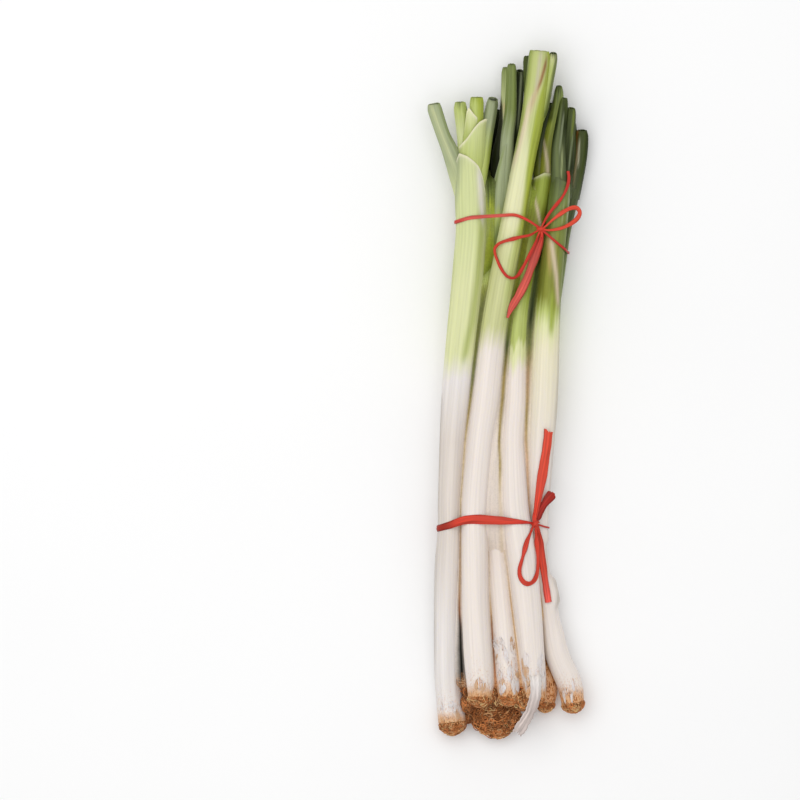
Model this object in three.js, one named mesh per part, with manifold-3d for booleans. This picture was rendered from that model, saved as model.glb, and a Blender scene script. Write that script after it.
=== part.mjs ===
// A bunch of seven trimmed welsh onions, tied twice with ribbon and lying on a flat surface.
// Millimetres. X runs across the bunch, Y from the root ends to the cut leaf tips, and Z up
// from the surface. The origin is under the middle of the bunch.

import * as THREE from 'three';
import Module from 'manifold-3d';

// Driving dimensions
const SURFACE_Z = 0;
const STALK_SIDES = 14;
const LEAF_SIDES = 10;
const LEAF_RINGS = 2;
const LEAF_WALL = 1.0;
const LEAF_BORE = 22;
// A covered shank's top, as [rise, share] of its radius.
const SHANK_DOME = [[0.45, 0.8], [0.75, 0.45]];
const ROOT_GAP = 0.35;
const LUMP_SIDES = 12;
// A root lump's outline, as [share of its depth, share of its radius].
const LUMP_PROFILE = [[0, 0.8], [0.16, 0.98], [0.5, 1], [0.8, 0.8], [1, 0.42]];
const LUMP_ROUGHNESS = 1.8;
const LUMP_THICKEST = 1.05;
const ROOT_SIDES = 3;
const ROOT_JOINTS = 4;
const ROOT_RADIUS = 1.3;
const BAND_THICKNESS = 0.7;
const BAND_CLEARANCE = 0.85;
const BAND_STEPS = 54;
const SECTION_POINTS = 48;
const RIBBON_THICKNESS = 0.7;
const PINCH = 0.55;
const PINCH_LENGTH = 12;
// Half a strip's width and thickness at each corner of its section.
const STRIP_SECTION = [
  [1, 0.45], [0.8, 1], [-0.8, 1], [-1, 0.45], [-1, -0.45], [-0.8, -1], [0.8, -1], [1, -0.45],
];

// Finishes, as sRGB colours
const FINISH = {
  pale: { color: '#dfe3c4', roughness: 0.45 },
  green: { color: '#9db765', roughness: 0.5 },
  roots: { color: '#b07a45', roughness: 0.9 },
  darkRoots: { color: '#8a5429', roughness: 0.95 },
  skin: { color: '#e9e2da', roughness: 0.6 },
  ribbon: { color: '#d8432f', roughness: 0.45 },
};

// Each onion: its shank as stations [x, y, z, radius] from the root end up, its leaves as
// stations [x, y, z, half width, half thickness], and its root tuft.
const ONIONS = [
  {
    name: 'left',
    finish: FINISH.pale,
    shank: [
      [-49, -284, 13.2, 12.2],
      [-51, -266, 13.6, 11.9],
      [-53, -243, 14.8, 11.5],
      [-53.4, -213, 17.2, 11.4],
      [-53.3, -178, 21.8, 11.4],
      [-52.6, -147, 25.8, 11.5],
      [-51.3, -118, 28.0, 10.4],
      [-51.3, -91, 28.8, 10.1],
      [-48.9, -39, 30.5, 11.1],
      [-45.9, 0, 31.5, 12.2],
      [-41.3, 48, 32.2, 13.0],
      [-37.5, 83, 32.2, 13.4],
      [-34.4, 118, 31.4, 13.4],
      [-32.6, 144, 30.8, 13.3],
      [-33.4, 175, 30.2, 13.4],
      [-34.4, 200, 30.0, 12.2],
    ],
    leaves: [
      [[-39, 172, 29, 8.5, 8.5], [-43.5, 194, 29.5, 9, 7.5], [-51.4, 214, 30, 7, 5],
        [-57, 227, 30.6, 6, 4.3], [-63.6, 247, 31.4, 6.3, 4.1], [-65, 254.5, 31.8, 6.1, 3.9]],
      [[-37.5, 180, 29, 8.5, 8.5], [-37, 214, 28.6, 7.4, 6.5], [-39.4, 231, 28, 6.1, 5.4],
        [-41.6, 247, 27.6, 5.8, 4.9], [-42, 256, 27.4, 5.3, 4.2]],
      [[-31, 182, 31, 8.5, 8], [-29.4, 212, 31.6, 6.4, 6.2], [-28, 232, 32.6, 5.9, 5.8],
        [-27.6, 260, 33.6, 6.2, 5.2]],
      [[-29, 182, 28.5, 9, 9], [-24.4, 208, 28.4, 8.6, 7.4], [-20.6, 226, 28, 7.2, 6],
        [-16.4, 242, 27.6, 5.8, 4.9], [-13, 260, 27, 5, 4.4]],
    ],
    roots: { seed: 11, count: 15, core: 11.5, reach: 5, spread: 1.02, finish: FINISH.roots },
  },
  {
    name: 'tall',
    finish: FINISH.pale,
    shank: [
      [-24.8, -262, 34.8, 10.6],
      [-24.9, -250, 35.0, 11.7],
      [-27, -221, 35.4, 12.1],
      [-29, -178, 35.2, 11.5],
      [-29.4, -126, 35.0, 11.4],
      [-29.1, -91, 35.0, 11.3],
      [-24.8, -39, 34.0, 11.3],
      [-20, -4, 33.4, 11.8],
      [-14.4, 48, 32.6, 11.5],
      [-9.1, 83, 32.0, 11.3],
      [-2.6, 118, 31.4, 10.9],
      [2.6, 144, 31.2, 10.7],
      [6.7, 168, 31.4, 9.9],
      [14.2, 209, 32.0, 9.6],
      [20.4, 240, 32.5, 9.8],
      [24.4, 270, 33.0, 9.6],
      [27, 300.4, 33.4, 9.0],
    ],
    openTop: true,
    leaves: [
      [[24, 228, 31.5, 7.5, 7], [29, 250, 31.8, 6, 5.5], [33.4, 270, 31.6, 5.2, 4.8],
        [37.4, 287, 31.4, 4.4, 4.1], [39.4, 299, 31.4, 3.9, 3.6]],
      [[19, 228, 29, 7, 6], [18.2, 262, 27, 5, 4.2], [17, 296, 25.6, 4.4, 3.4]],
    ],
    roots: { seed: 23, count: 14, core: 9, reach: 5, spread: 1.08, finish: FINISH.roots },
  },
  {
    name: 'middle',
    finish: FINISH.pale,
    shank: [
      [-0.5, -262, 29.4, 9.8],
      [-0.6, -250, 29.0, 10.8],
      [-3, -221, 27.6, 10.5],
      [-7, -178, 24.0, 10.1],
      [-12.2, -126, 20.5, 9.6],
      [-16.1, -91, 18.0, 9.2],
      [-17.2, -39, 12.0, 9.6],
      [-16.2, -4, 9.7, 10.0],
      [-13, 48, 9.6, 9.9],
      [-11, 83, 9.7, 9.8],
      [-10.3, 118, 11.4, 9.8],
      [-9.3, 144, 13.4, 9.7],
      [-8, 168, 15.8, 9.5],
      [-6.4, 192, 17.4, 8.6],
    ],
    leaves: [
      [[-7, 172, 17, 8, 7.5], [-8.6, 205, 18.4, 6.6, 6], [-4.4, 232, 19, 5.2, 4.6],
        [-2.8, 258, 19.4, 4, 3.6], [-2.8, 286, 19.6, 3.2, 3]],
      [[-5, 172, 17.5, 8, 7.5], [-1.6, 222, 21, 6.2, 5.2], [1.7, 248, 21.6, 5.4, 4.4],
        [2.8, 289, 22.4, 4, 3.6]],
      [[-4, 172, 15.5, 7.5, 7], [3, 222, 14, 5.8, 4.5], [7.4, 248, 14.4, 4.8, 4],
        [10.2, 284, 15, 4.1, 3.5]],
    ],
    roots: { seed: 31, count: 13, core: 8, reach: 4.5, spread: 1.06, finish: FINISH.roots },
  },
  {
    name: 'front',
    finish: FINISH.pale,
    shank: [
      [22.6, -263, 28.3, 9.4],
      [22.2, -250, 28.8, 10.6],
      [20, -221, 31.2, 11.1],
      [16.1, -178, 34.0, 12.2],
      [12.2, -143, 35.6, 12.4],
      [7.4, -111, 34.0, 12.1],
      [5.2, -91, 33.0, 11.6],
      [3.9, -39, 29.0, 9.8],
      [6.1, -4, 26.2, 10.0],
      [8, 48, 23.6, 9.4],
      [11.5, 83, 21.8, 9.1],
      [18.7, 118, 19.6, 9.1],
      [22.6, 144, 18.2, 9.1],
      [27.4, 170, 17.6, 9.1],
      [31, 194, 17.6, 8.4],
    ],
    leaves: [
      [[31, 176, 17.5, 8, 7.5], [35.4, 213, 18, 7, 6], [40.6, 241, 18.8, 5.9, 4.9],
        [43.2, 257, 19.6, 4.7, 4], [44, 270, 20, 3.2, 2.9]],
      [[28, 176, 16.5, 7, 6.5], [28.6, 213, 15.6, 6.2, 5.4], [33.4, 240, 15, 5.2, 4.5],
        [36.6, 255, 15, 4.4, 3.8]],
    ],
    roots: { seed: 47, count: 10, core: 6, reach: 3.5, spread: 1.0, finish: FINISH.roots },
  },
  {
    name: 'right',
    finish: FINISH.pale,
    shank: [
      [56, -267, 16.8, 9.8],
      [52.8, -250, 17.6, 11.0],
      [41, -221, 19.6, 10.4],
      [33.9, -178, 18.6, 9.9],
      [27, -143, 18.5, 9.7],
      [24.6, -112, 18.6, 9.9],
      [25.4, -91, 20.0, 10.3],
      [28.7, -39, 26.5, 11.3],
      [31.3, -4, 30.6, 11.6],
      [33.1, 48, 31.4, 11.3],
      [35.2, 83, 30.8, 10.5],
      [38.3, 118, 30.8, 10.0],
      [41.2, 144, 30.0, 9.6],
      [44, 170, 29.4, 9.3],
      [46, 192, 29.0, 8.4],
    ],
    leaves: [
      [[44.5, 172, 29.5, 7.5, 7], [43.4, 213, 31.4, 6.2, 5.2], [46, 238, 32, 4.9, 4.2],
        [48.8, 259.5, 32, 3.3, 3]],
      [[47, 172, 27.4, 7.5, 7], [50.8, 213, 27, 6.4, 5.2], [53.2, 234, 27, 5, 4.4],
        [54.6, 251, 27, 4.2, 3.8]],
    ],
    roots: { seed: 59, count: 14, core: 9, reach: 4.5, spread: 1.08, finish: FINISH.roots },
  },
  {
    name: 'under_left',
    finish: FINISH.green,
    shank: [
      [-14, -266, 11.0, 9.6],
      [-18.5, -250, 10.8, 11.2],
      [-26, -221, 11.0, 11.4],
      [-31.5, -178, 11.0, 11.4],
      [-34, -112, 12.8, 11.0],
      [-36.8, -65, 10.9, 10.6],
      [-38, -39, 9.9, 10.3],
      [-38, -4, 9.6, 10.0],
      [-35, 48, 9.0, 9.4],
      [-32, 83, 8.5, 8.9],
      [-29.8, 118, 9.5, 8.3],
      [-27.6, 148, 9.7, 7.8],
      [-25, 170, 8.8, 7.6],
      [-22, 192, 8.2, 7.0],
    ],
    leaves: [
      [[-23.2, 180, 8.2, 6.2, 6], [-17.8, 208, 7, 6, 4.8], [-12, 232, 7.4, 5.4, 4.4],
        [-9, 249, 8, 4.8, 4]],
      [[-24, 176, 8.2, 6.4, 6], [-25, 208, 7.8, 6, 5], [-22.6, 232, 8.6, 5.4, 4.4],
        [-21, 246, 9.4, 4.8, 4]],
    ],
    roots: { seed: 67, count: 30, core: 32, reach: 8, spread: 2.3, finish: FINISH.darkRoots },
  },
  {
    name: 'under_right',
    finish: FINISH.green,
    shank: [
      [32, -267, 9.2, 8.4],
      [33, -250, 9.1, 9.4],
      [21.8, -221, 9.2, 9.5],
      [15, -178, 9.4, 9.7],
      [8.6, -143, 10.4, 9.8],
      [5, -112, 11.6, 9.8],
      [9.5, -75, 10.0, 9.8],
      [14, -39, 9.5, 9.8],
      [22, -4, 9.3, 9.6],
      [30.6, 48, 9.2, 9.5],
      [36, 83, 9.3, 9.4],
      [41.4, 118, 10.9, 9.1],
      [45, 142, 11.0, 9.0],
      [51, 168, 10.2, 9.0],
      [56, 186, 11.0, 8.4],
    ],
    leaves: [
      [[54.5, 172, 11, 7.5, 7.2], [61.2, 200, 12.4, 6.1, 5.5], [63.6, 219, 13.4, 5.8, 5],
        [63.6, 231.5, 14, 5.4, 4.6]],
      [[52.5, 172, 10.5, 7, 6.6], [55, 213, 13, 5.6, 5], [53.6, 241, 14, 4.8, 4.2]],
    ],
    roots: { seed: 73, count: 12, core: 8.5, reach: 4.5, spread: 1.05, finish: FINISH.roots },
  },
];

// Ties. A ribbon's course goes over the top layer of stalks at heights y that depend on x,
// given as [x, y] points, and under the bottom layer on a straight line between its two ends.
const UPPER_TIE = {
  name: 'upper_tie',
  over: [[-47, 150.6], [-34, 154.8], [-20, 155.8], [6, 157.4], [17, 152.7], [28.3, 145], [39, 135.5],
    [53, 124]],
  under: [[-47, 150.6], [53, 124]],
  width: 3,
  knot: { at: [28.3, 144.9, 41.4], size: [7, 6.4, 4.4], turn: -25 },
};
const LOWER_TIE = {
  name: 'lower_tie',
  over: [[-61.5, -115.6], [-51, -112.7], [-39.6, -108.4], [-29, -107.6], [-3, -109], [18.7, -110.6],
    [36, -115]],
  under: [[-61.5, -115.6], [36, -115]],
  width: 6.6,
  knot: { at: [23.4, -111.2, 39.1], size: [6, 7, 4.6], turn: 10 },
};

// Free ends and loops of the two bows, as points [x, y, z, roll in degrees].
const BOWS = [
  {
    name: 'upper_tie_left_loop',
    width: 2.8,
    pinched: [true, true],
    route: [[24, 142.6, 42.4, 0], [18.7, 139.6, 43, 0], [11, 138, 44, 0], [3.9, 136.2, 44.6, 0],
      [-3, 134.4, 44.4, 0], [-8.4, 132.2, 43.2, 12], [-11.9, 128.2, 41.6, 22], [-11.8, 123.4, 41.2, 25],
      [-10, 118, 41.8, 22], [-7.6, 112.6, 43.2, 14], [-4.4, 107.2, 44.4, 6], [-0.6, 103.4, 44.4, 0],
      [3.9, 102.2, 43, 0], [8, 104.4, 40.8, 0], [11.4, 109.4, 39.2, 0], [15.4, 116.6, 38.6, 0],
      [20.2, 126, 39.6, 0], [24, 134.4, 41.4, 0], [25.6, 139.2, 42.4, 0]],
  },
  {
    name: 'upper_tie_right_loop',
    width: 3.4,
    pinched: [true, true],
    route: [[32.8, 147.6, 42.4, 0], [38.7, 153, 41.8, 0], [44.4, 157.4, 41, 5], [50, 161, 39.6, 8],
      [55.2, 163.2, 37.8, 8], [59.6, 163, 36, 5], [62, 159.6, 35, 0], [60.8, 155.4, 35.4, -5],
      [57.4, 151.6, 36.6, -8], [52.4, 148.4, 38.4, -8], [46.6, 145.8, 40.4, -5], [40.4, 144.4, 41.9, 0],
      [36.4, 143.9, 42.6, 0], [33.9, 143.8, 42.9, 0]],
  },
  {
    name: 'upper_tie_thin_tail',
    width: 2.5,
    pinched: [true, false],
    route: [[30, 149, 43, 0], [33, 154.6, 43, 0], [37, 160.4, 42.4, 0], [41.4, 165.8, 41.4, 0],
      [45.7, 171, 40.2, 8], [49.4, 177, 38.8, 14], [51.8, 183.4, 37.6, 18], [52.6, 189.6, 36.6, 18],
      [51.8, 195.5, 36, 15]],
  },
  {
    name: 'upper_tie_wide_tail',
    width: 5.6,
    pinched: [true, false],
    route: [[28.9, 139.9, 40.6, 0], [28, 134.6, 39, -8], [25.8, 128, 37, -10], [23, 120, 35.4, -10],
      [19.6, 110.6, 34.6, -8], [16.2, 101.6, 34.4, -5], [12.6, 93.8, 35, -5], [8.8, 86.4, 36, -8],
      [5.2, 80.4, 37.2, -14], [2, 74.6, 38.6, -18], [-0.9, 67.4, 40.6, -16]],
  },
  {
    name: 'lower_tie_loop',
    width: 4,
    pinched: [true, true],
    route: [[20.6, -116.2, 41.4, -35], [18.9, -120.6, 43.6, -35], [16.6, -126.6, 46.8, -30],
      [14.2, -134.4, 49.1, -15], [11.8, -142.6, 49.8, 0], [9.8, -149.6, 49.6, 5],
      [9.6, -155.6, 49.2, 5], [11.8, -160.8, 48.8, 0], [16, -163.8, 48.6, 0], [20.6, -162.8, 47, 15],
      [24, -158.6, 44.8, 30], [25.6, -152.4, 43, 35], [25.8, -144, 42, 30], [25.4, -134.4, 41, 20],
      [24.6, -125.4, 39.8, 10], [23.6, -116.9, 38.6, 0]],
  },
  {
    name: 'lower_tie_up_tail',
    width: 7.4,
    pinched: [true, false],
    route: [[22.6, -106.2, 39.4, 0], [24, -100, 39.4, 0], [25.6, -91, 38.6, 0], [27.2, -82, 37.8, 0],
      [28.8, -73, 37.4, 0], [30.4, -64, 37.6, 5], [31.8, -55.4, 38.4, 10], [33.2, -47, 39.6, 12],
      [34.4, -38, 40.8, 15], [35.2, -29, 41.8, 15]],
  },
  {
    name: 'lower_tie_down_tail',
    width: 5.6,
    pinched: [true, false],
    route: [[25.8, -116.6, 35.6, -10], [27.2, -124.8, 33.4, -10], [28.4, -133.4, 31.6, -10],
      [29.4, -142, 30.6, -8], [30.6, -151, 30.2, -5], [31.8, -160, 30.2, -3], [33.2, -170, 30.2, 0],
      [34.8, -180.4, 30.2, 0]],
  },
];

// The short cut end that stands off the lower knot.
const SHORT_END = {
  width: 9,
  pinched: [true, false],
  route: [[23, -109.4, 37, 0], [26, -102.6, 36, 5], [30.2, -96, 34.8, 8], [34.8, -90, 33.8, 12],
    [39.6, -84.4, 32.8, 16]],
};

// The strip of dry outer skin that hangs off the root end of the front onion.
const LOOSE_SKIN = {
  name: 'loose_skin',
  width: 9.4,
  pinched: [false, false],
  route: [[23.6, -240, 40.7, -4], [23.8, -248, 40.4, -8], [23.6, -257, 39.9, -10],
    [22.4, -265.5, 38.8, -10], [18, -277, 35.6, -5], [11, -288.6, 30.8, 0], [7, -294.4, 28, 0]],
};

const wasm = await Module();
wasm.setup();

// Closed mesh from rings of equal length, with a flat fan over each end, or joined round.
function closedRings(rings, joined = false) {
  const sides = rings[0].length;
  const points = rings.flat();
  const faces = [];
  const last = joined ? rings.length : rings.length - 1;
  for (let i = 0; i < last; i++) {
    const next = (i + 1) % rings.length;
    for (let j = 0; j < sides; j++) {
      const k = (j + 1) % sides;
      const [a, b, c, d] = [i * sides + j, i * sides + k, next * sides + k, next * sides + j];
      faces.push(a, b, c, a, c, d);
    }
  }
  if (!joined) {
    const end = (rings.length - 1) * sides;
    points.push(centreOf(rings[0]), centreOf(rings.at(-1)));
    for (let j = 0; j < sides; j++) {
      const k = (j + 1) % sides;
      faces.push(k, j, points.length - 2, end + j, end + k, points.length - 1);
    }
  }
  const geometry = new THREE.BufferGeometry().setFromPoints(points);
  geometry.setIndex(faces);
  return geometry;
}

function centreOf(ring) {
  return ring.reduce((sum, p) => sum.add(p), new THREE.Vector3()).divideScalar(ring.length);
}

function splineOf(points) {
  return new THREE.CatmullRomCurve3(points, false, 'catmullrom');
}

function pathOf(stations) {
  return splineOf(stations.map(([x, y, z]) => new THREE.Vector3(x, y, z)));
}

// One elliptical ring across a path. Its side axis lies level, and its other axis upwards.
function ringAt(centre, tangent, halfWidth, halfThickness, sides) {
  const side = new THREE.Vector3().crossVectors(tangent, new THREE.Vector3(0, 0, 1)).normalize();
  const up = new THREE.Vector3().crossVectors(side, tangent);
  return Array.from({ length: sides }, (_, j) => {
    const angle = (2 * Math.PI * j) / sides;
    return centre
      .clone()
      .addScaledVector(side, halfWidth * Math.cos(angle))
      .addScaledVector(up, -halfThickness * Math.sin(angle));
  });
}

// Rings of a bent, tapering tube through stations [x, y, z, half width, half thickness].
function tubeRings(stations, sides, ringsPerStretch) {
  const path = pathOf(stations);
  const halves = stations.map(([, , , width, thickness = width]) => new THREE.Vector3(width, thickness, 0));
  const size = splineOf(halves);
  const steps = (stations.length - 1) * ringsPerStretch;
  return Array.from({ length: steps + 1 }, (_, i) => {
    const half = size.getPoint(i / steps);
    return ringAt(path.getPoint(i / steps), path.getTangent(i / steps), half.x, half.y, sides);
  });
}

// Continues a tube over its rim and down inside, so that its cut end is open.
function boredRings(rings, stations, sides) {
  const path = pathOf(stations);
  const [width, thickness = width] = stations.at(-1).slice(3);
  const length = path.getLength();
  const inner = [0, 1].map((depth) => {
    const at = 1 - (depth * LEAF_BORE) / length;
    const narrowing = 1 - 0.25 * depth;
    const halves = [width, thickness].map((half) => (half - LEAF_WALL) * narrowing);
    return ringAt(path.getPointAt(at), path.getTangentAt(at), ...halves, sides);
  });
  return [...rings, ...inner];
}

// What lies below the surface is pressed flat on it.
function pressedFlat(rings) {
  rings.flat().forEach((p) => {
    p.z = Math.max(p.z, SURFACE_Z);
  });
  return rings;
}

// A shank that leaves cover is rounded off at the top, and a bare one is an open tube.
function shankRings(onion) {
  const rings = tubeRings(onion.shank, STALK_SIDES, 1);
  if (onion.openTop) {
    return boredRings(rings, onion.shank, STALK_SIDES);
  }
  const [x, y, z, radius] = onion.shank.at(-1);
  const dome = SHANK_DOME.map(([rise, share]) => {
    const centre = new THREE.Vector3(x, y + rise * radius, z);
    return ringAt(centre, new THREE.Vector3(0, 1, 0), share * radius, share * radius, STALK_SIDES);
  });
  return [...rings, ...dome];
}

function solidOf(geometry) {
  const triVerts = Uint32Array.from(geometry.index.array);
  const vertProperties = geometry.attributes.position.array;
  return new wasm.Manifold(new wasm.Mesh({ numProp: 3, vertProperties, triVerts }));
}

function joined(geometries) {
  const solid = geometries.map(solidOf).reduce((whole, part) => whole.add(part));
  const { vertProperties, triVerts } = solid.getMesh();
  const geometry = new THREE.BufferGeometry();
  geometry.setAttribute('position', new THREE.BufferAttribute(vertProperties, 3));
  geometry.setIndex(Array.from(triVerts));
  return geometry;
}

function piece(name, geometry, { color, roughness }) {
  geometry.computeVertexNormals();
  const mesh = new THREE.Mesh(geometry, new THREE.MeshStandardMaterial({ color, roughness, metalness: 0 }));
  mesh.name = name;
  return mesh;
}

// Shank and leaves of one onion, grown as one piece.
function onionPiece(onion) {
  const parts = [closedRings(pressedFlat(shankRings(onion)))];
  for (const leaf of onion.leaves) {
    const blade = tubeRings(leaf, LEAF_SIDES, LEAF_RINGS);
    parts.push(closedRings(pressedFlat(boredRings(blade, leaf, LEAF_SIDES))));
  }
  return piece(`onion_${onion.name}`, joined(parts), onion.finish);
}

// A repeatable source of numbers from 0 to 1.
function seeded(seed) {
  let state = seed;
  return () => {
    state = (state * 1664525 + 1013904223) % 4294967296;
    return state / 4294967296;
  };
}

// The matted root lump under a shank, and root ends that stand off it all round.
function rootTuft(onion) {
  const { seed, count, core, reach, spread, finish } = onion.roots;
  const radius = onion.shank[0][3];
  const random = seeded(seed);
  const plate = pathOf(onion.shank);
  const away = plate.getTangent(0).negate();
  const from = plate.getPoint(0).addScaledVector(away, ROOT_GAP);
  const below = (depth) => from.clone().addScaledVector(away, depth);
  const halves = [radius * spread, radius * Math.min(spread, LUMP_THICKEST)];
  const lump = LUMP_PROFILE.map(([depth, share]) => {
    const ring = ringAt(below(depth * core), away, halves[0] * share, halves[1] * share, LUMP_SIDES);
    ring.forEach((p) => {
      const shift = new THREE.Vector3(random() - 0.5, random() - 0.5, random() - 0.5);
      p.addScaledVector(shift, LUMP_ROUGHNESS * depth);
    });
    return ring;
  });
  const parts = [closedRings(pressedFlat(lump))];
  for (let i = 0; i < count; i++) {
    const turn = 2 * Math.PI * ((i + random()) / count);
    const start = 0.25 + 0.55 * random();
    const length = reach * (0.7 + 0.5 * random());
    const curl = 3 * (random() - 0.5);
    const stations = Array.from({ length: ROOT_JOINTS }, (_, joint) => {
      const along = joint / (ROOT_JOINTS - 1);
      const depth = start * core + along * length;
      const out = lineAt(LUMP_PROFILE, depth / core) * (0.7 + 0.45 * along);
      const p = below(depth);
      p.x += halves[0] * out * Math.cos(turn) + curl * Math.sin(3 * along);
      p.z += halves[1] * out * Math.sin(turn) + 0.4 * curl * Math.sin(4 * along);
      return [p.x, p.y, Math.max(p.z, ROOT_RADIUS), ROOT_RADIUS * (1 - 0.35 * along)];
    });
    parts.push(closedRings(pressedFlat(tubeRings(stations, ROOT_SIDES, 1))));
  }
  return piece(`roots_${onion.name}`, joined(parts), finish);
}

// Where a piecewise straight line [x, y] stands at x.
function lineAt(line, x) {
  const next = Math.max(1, line.findIndex(([px]) => px >= x));
  const end = x > line.at(-1)[0] ? line.length - 1 : next;
  const [[x0, y0], [x1, y1]] = [line[end - 1], line[end]];
  return y0 + ((y1 - y0) * THREE.MathUtils.clamp(x - x0, 0, x1 - x0)) / (x1 - x0);
}

// The circle that a shank shows in a section at y, as [x, z, radius].
function sectionAt(onion, y) {
  const stations = onion.shank;
  const i = Math.max(1, stations.findIndex((s) => s[1] >= y));
  const [a, b] = [stations[i - 1], stations[i]];
  const share = (y - a[1]) / (b[1] - a[1]);
  return [0, 2, 3].map((k) => a[k] + share * (b[k] - a[k]));
}

// The ribbon's ring: the tightest line round all the stalks, with its own y at each x.
function tieRing(tie) {
  const around = [];
  for (const onion of ONIONS) {
    const [guess] = sectionAt(onion, tie.under[0][1]);
    for (const course of [tie.over, tie.under]) {
      const [x, z, radius] = sectionAt(onion, lineAt(course, guess));
      const reach = radius + BAND_CLEARANCE + BAND_THICKNESS / 2;
      for (let k = 0; k < SECTION_POINTS; k++) {
        const angle = (2 * Math.PI * k) / SECTION_POINTS;
        around.push(new THREE.Vector2(x + reach * Math.cos(angle), z + reach * Math.sin(angle)));
      }
    }
  }
  const hull = hullOf(around).map((p) => new THREE.Vector3(p.x, 0, p.y));
  const course = new THREE.CatmullRomCurve3(hull, true, 'catmullrom', 0);
  const ring = course.getSpacedPoints(BAND_STEPS).slice(0, BAND_STEPS);
  const middle = (Math.min(...hull.map((p) => p.z)) + Math.max(...hull.map((p) => p.z))) / 2;
  ring.forEach((p) => {
    const share = THREE.MathUtils.smoothstep(p.z, middle - 8, middle + 8);
    p.y = THREE.MathUtils.lerp(lineAt(tie.under, p.x), lineAt(tie.over, p.x), share);
  });
  return ring;
}

// Convex hull of points in a plane, counter-clockwise.
function hullOf(points) {
  const sorted = [...points].sort((p, q) => p.x - q.x || p.y - q.y);
  const half = (list) => {
    const chain = [];
    for (const p of list) {
      while (chain.length > 1 && turnOf(chain.at(-2), chain.at(-1), p) <= 0.01) {
        chain.pop();
      }
      chain.push(p);
    }
    return chain.slice(0, -1);
  };
  return [...half(sorted), ...half(sorted.reverse())];
}

function turnOf(a, b, c) {
  return (b.x - a.x) * (c.y - a.y) - (b.y - a.y) * (c.x - a.x);
}

// Rings of a flat band round the bunch: four corners at each step.
function bandRings(ring, width) {
  return ring.map((p, i) => {
    const before = ring.at(i - 1);
    const after = ring[(i + 1) % ring.length];
    const along = new THREE.Vector3().subVectors(after, before).normalize();
    const out = new THREE.Vector3(along.z, 0, -along.x).normalize();
    const side = new THREE.Vector3().crossVectors(out, along);
    return [[1, 1], [-1, 1], [-1, -1], [1, -1]].map(([a, b]) =>
      p.clone().addScaledVector(side, (a * width) / 2).addScaledVector(out, (b * BAND_THICKNESS) / 2),
    );
  });
}

function knotLump({ at, size, turn }) {
  const geometry = new THREE.SphereGeometry(0.5, 8, 6);
  geometry.scale(...size);
  geometry.rotateZ(THREE.MathUtils.degToRad(turn));
  geometry.translate(...at);
  return merged(geometry);
}

// Drops normals, coordinates, doubled corners and the faces that they leave empty.
function merged(geometry) {
  const points = [];
  const numbers = new Map();
  const position = geometry.attributes.position;
  const index = Array.from(geometry.index.array, (i) => {
    const p = new THREE.Vector3().fromBufferAttribute(position, i);
    const key = p.toArray().map((v) => v.toFixed(4)).join();
    if (!numbers.has(key)) {
      numbers.set(key, points.push(p) - 1);
    }
    return numbers.get(key);
  });
  const faces = [];
  for (let i = 0; i < index.length; i += 3) {
    const face = index.slice(i, i + 3);
    if (new Set(face).size === 3) {
      faces.push(...face);
    }
  }
  const clean = new THREE.BufferGeometry().setFromPoints(points);
  clean.setIndex(faces);
  return clean;
}

// A flat strip along points [x, y, z, roll], eight-sided and thinner towards its edges. It
// narrows towards a pinched end, where the knot gathers it.
function stripRings(route, width, thickness, [startPinched, endPinched]) {
  const path = pathOf(route);
  const steps = route.length - 1;
  const lengths = path.getLengths(steps);
  return route.map(([, , , roll], i) => {
    const [centre, tangent] = [path.getPoint(i / steps), path.getTangent(i / steps)];
    const fromStart = startPinched ? lengths[i] : Infinity;
    const fromEnd = endPinched ? lengths[steps] - lengths[i] : Infinity;
    const opened = THREE.MathUtils.smoothstep(Math.min(fromStart, fromEnd), 0, PINCH_LENGTH);
    const halfWidth = (width / 2) * THREE.MathUtils.lerp(PINCH, 1, opened);
    const side = new THREE.Vector3().crossVectors(tangent, new THREE.Vector3(0, 0, 1)).normalize();
    const up = new THREE.Vector3().crossVectors(side, tangent);
    const lean = new THREE.Quaternion().setFromAxisAngle(tangent, THREE.MathUtils.degToRad(roll));
    side.applyQuaternion(lean);
    up.applyQuaternion(lean);
    return STRIP_SECTION.map(([a, b]) =>
      centre.clone().addScaledVector(side, a * halfWidth).addScaledVector(up, (-b * thickness) / 2),
    );
  });
}

function strip({ route, width, pinched }) {
  return closedRings(stripRings(route, width, RIBBON_THICKNESS, pinched));
}

function tiePiece(tie, ends = []) {
  const band = closedRings(bandRings(tieRing(tie), tie.width), true);
  return piece(tie.name, joined([band, knotLump(tie.knot), ...ends.map(strip)]), FINISH.ribbon);
}

const bunch = new THREE.Group();
for (const onion of ONIONS) {
  bunch.add(onionPiece(onion), rootTuft(onion));
}
bunch.add(tiePiece(UPPER_TIE), tiePiece(LOWER_TIE, [SHORT_END]));
for (const bow of BOWS) {
  bunch.add(piece(bow.name, strip(bow), FINISH.ribbon));
}
bunch.add(piece(LOOSE_SKIN.name, strip(LOOSE_SKIN), FINISH.skin));

export default bunch;
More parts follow.
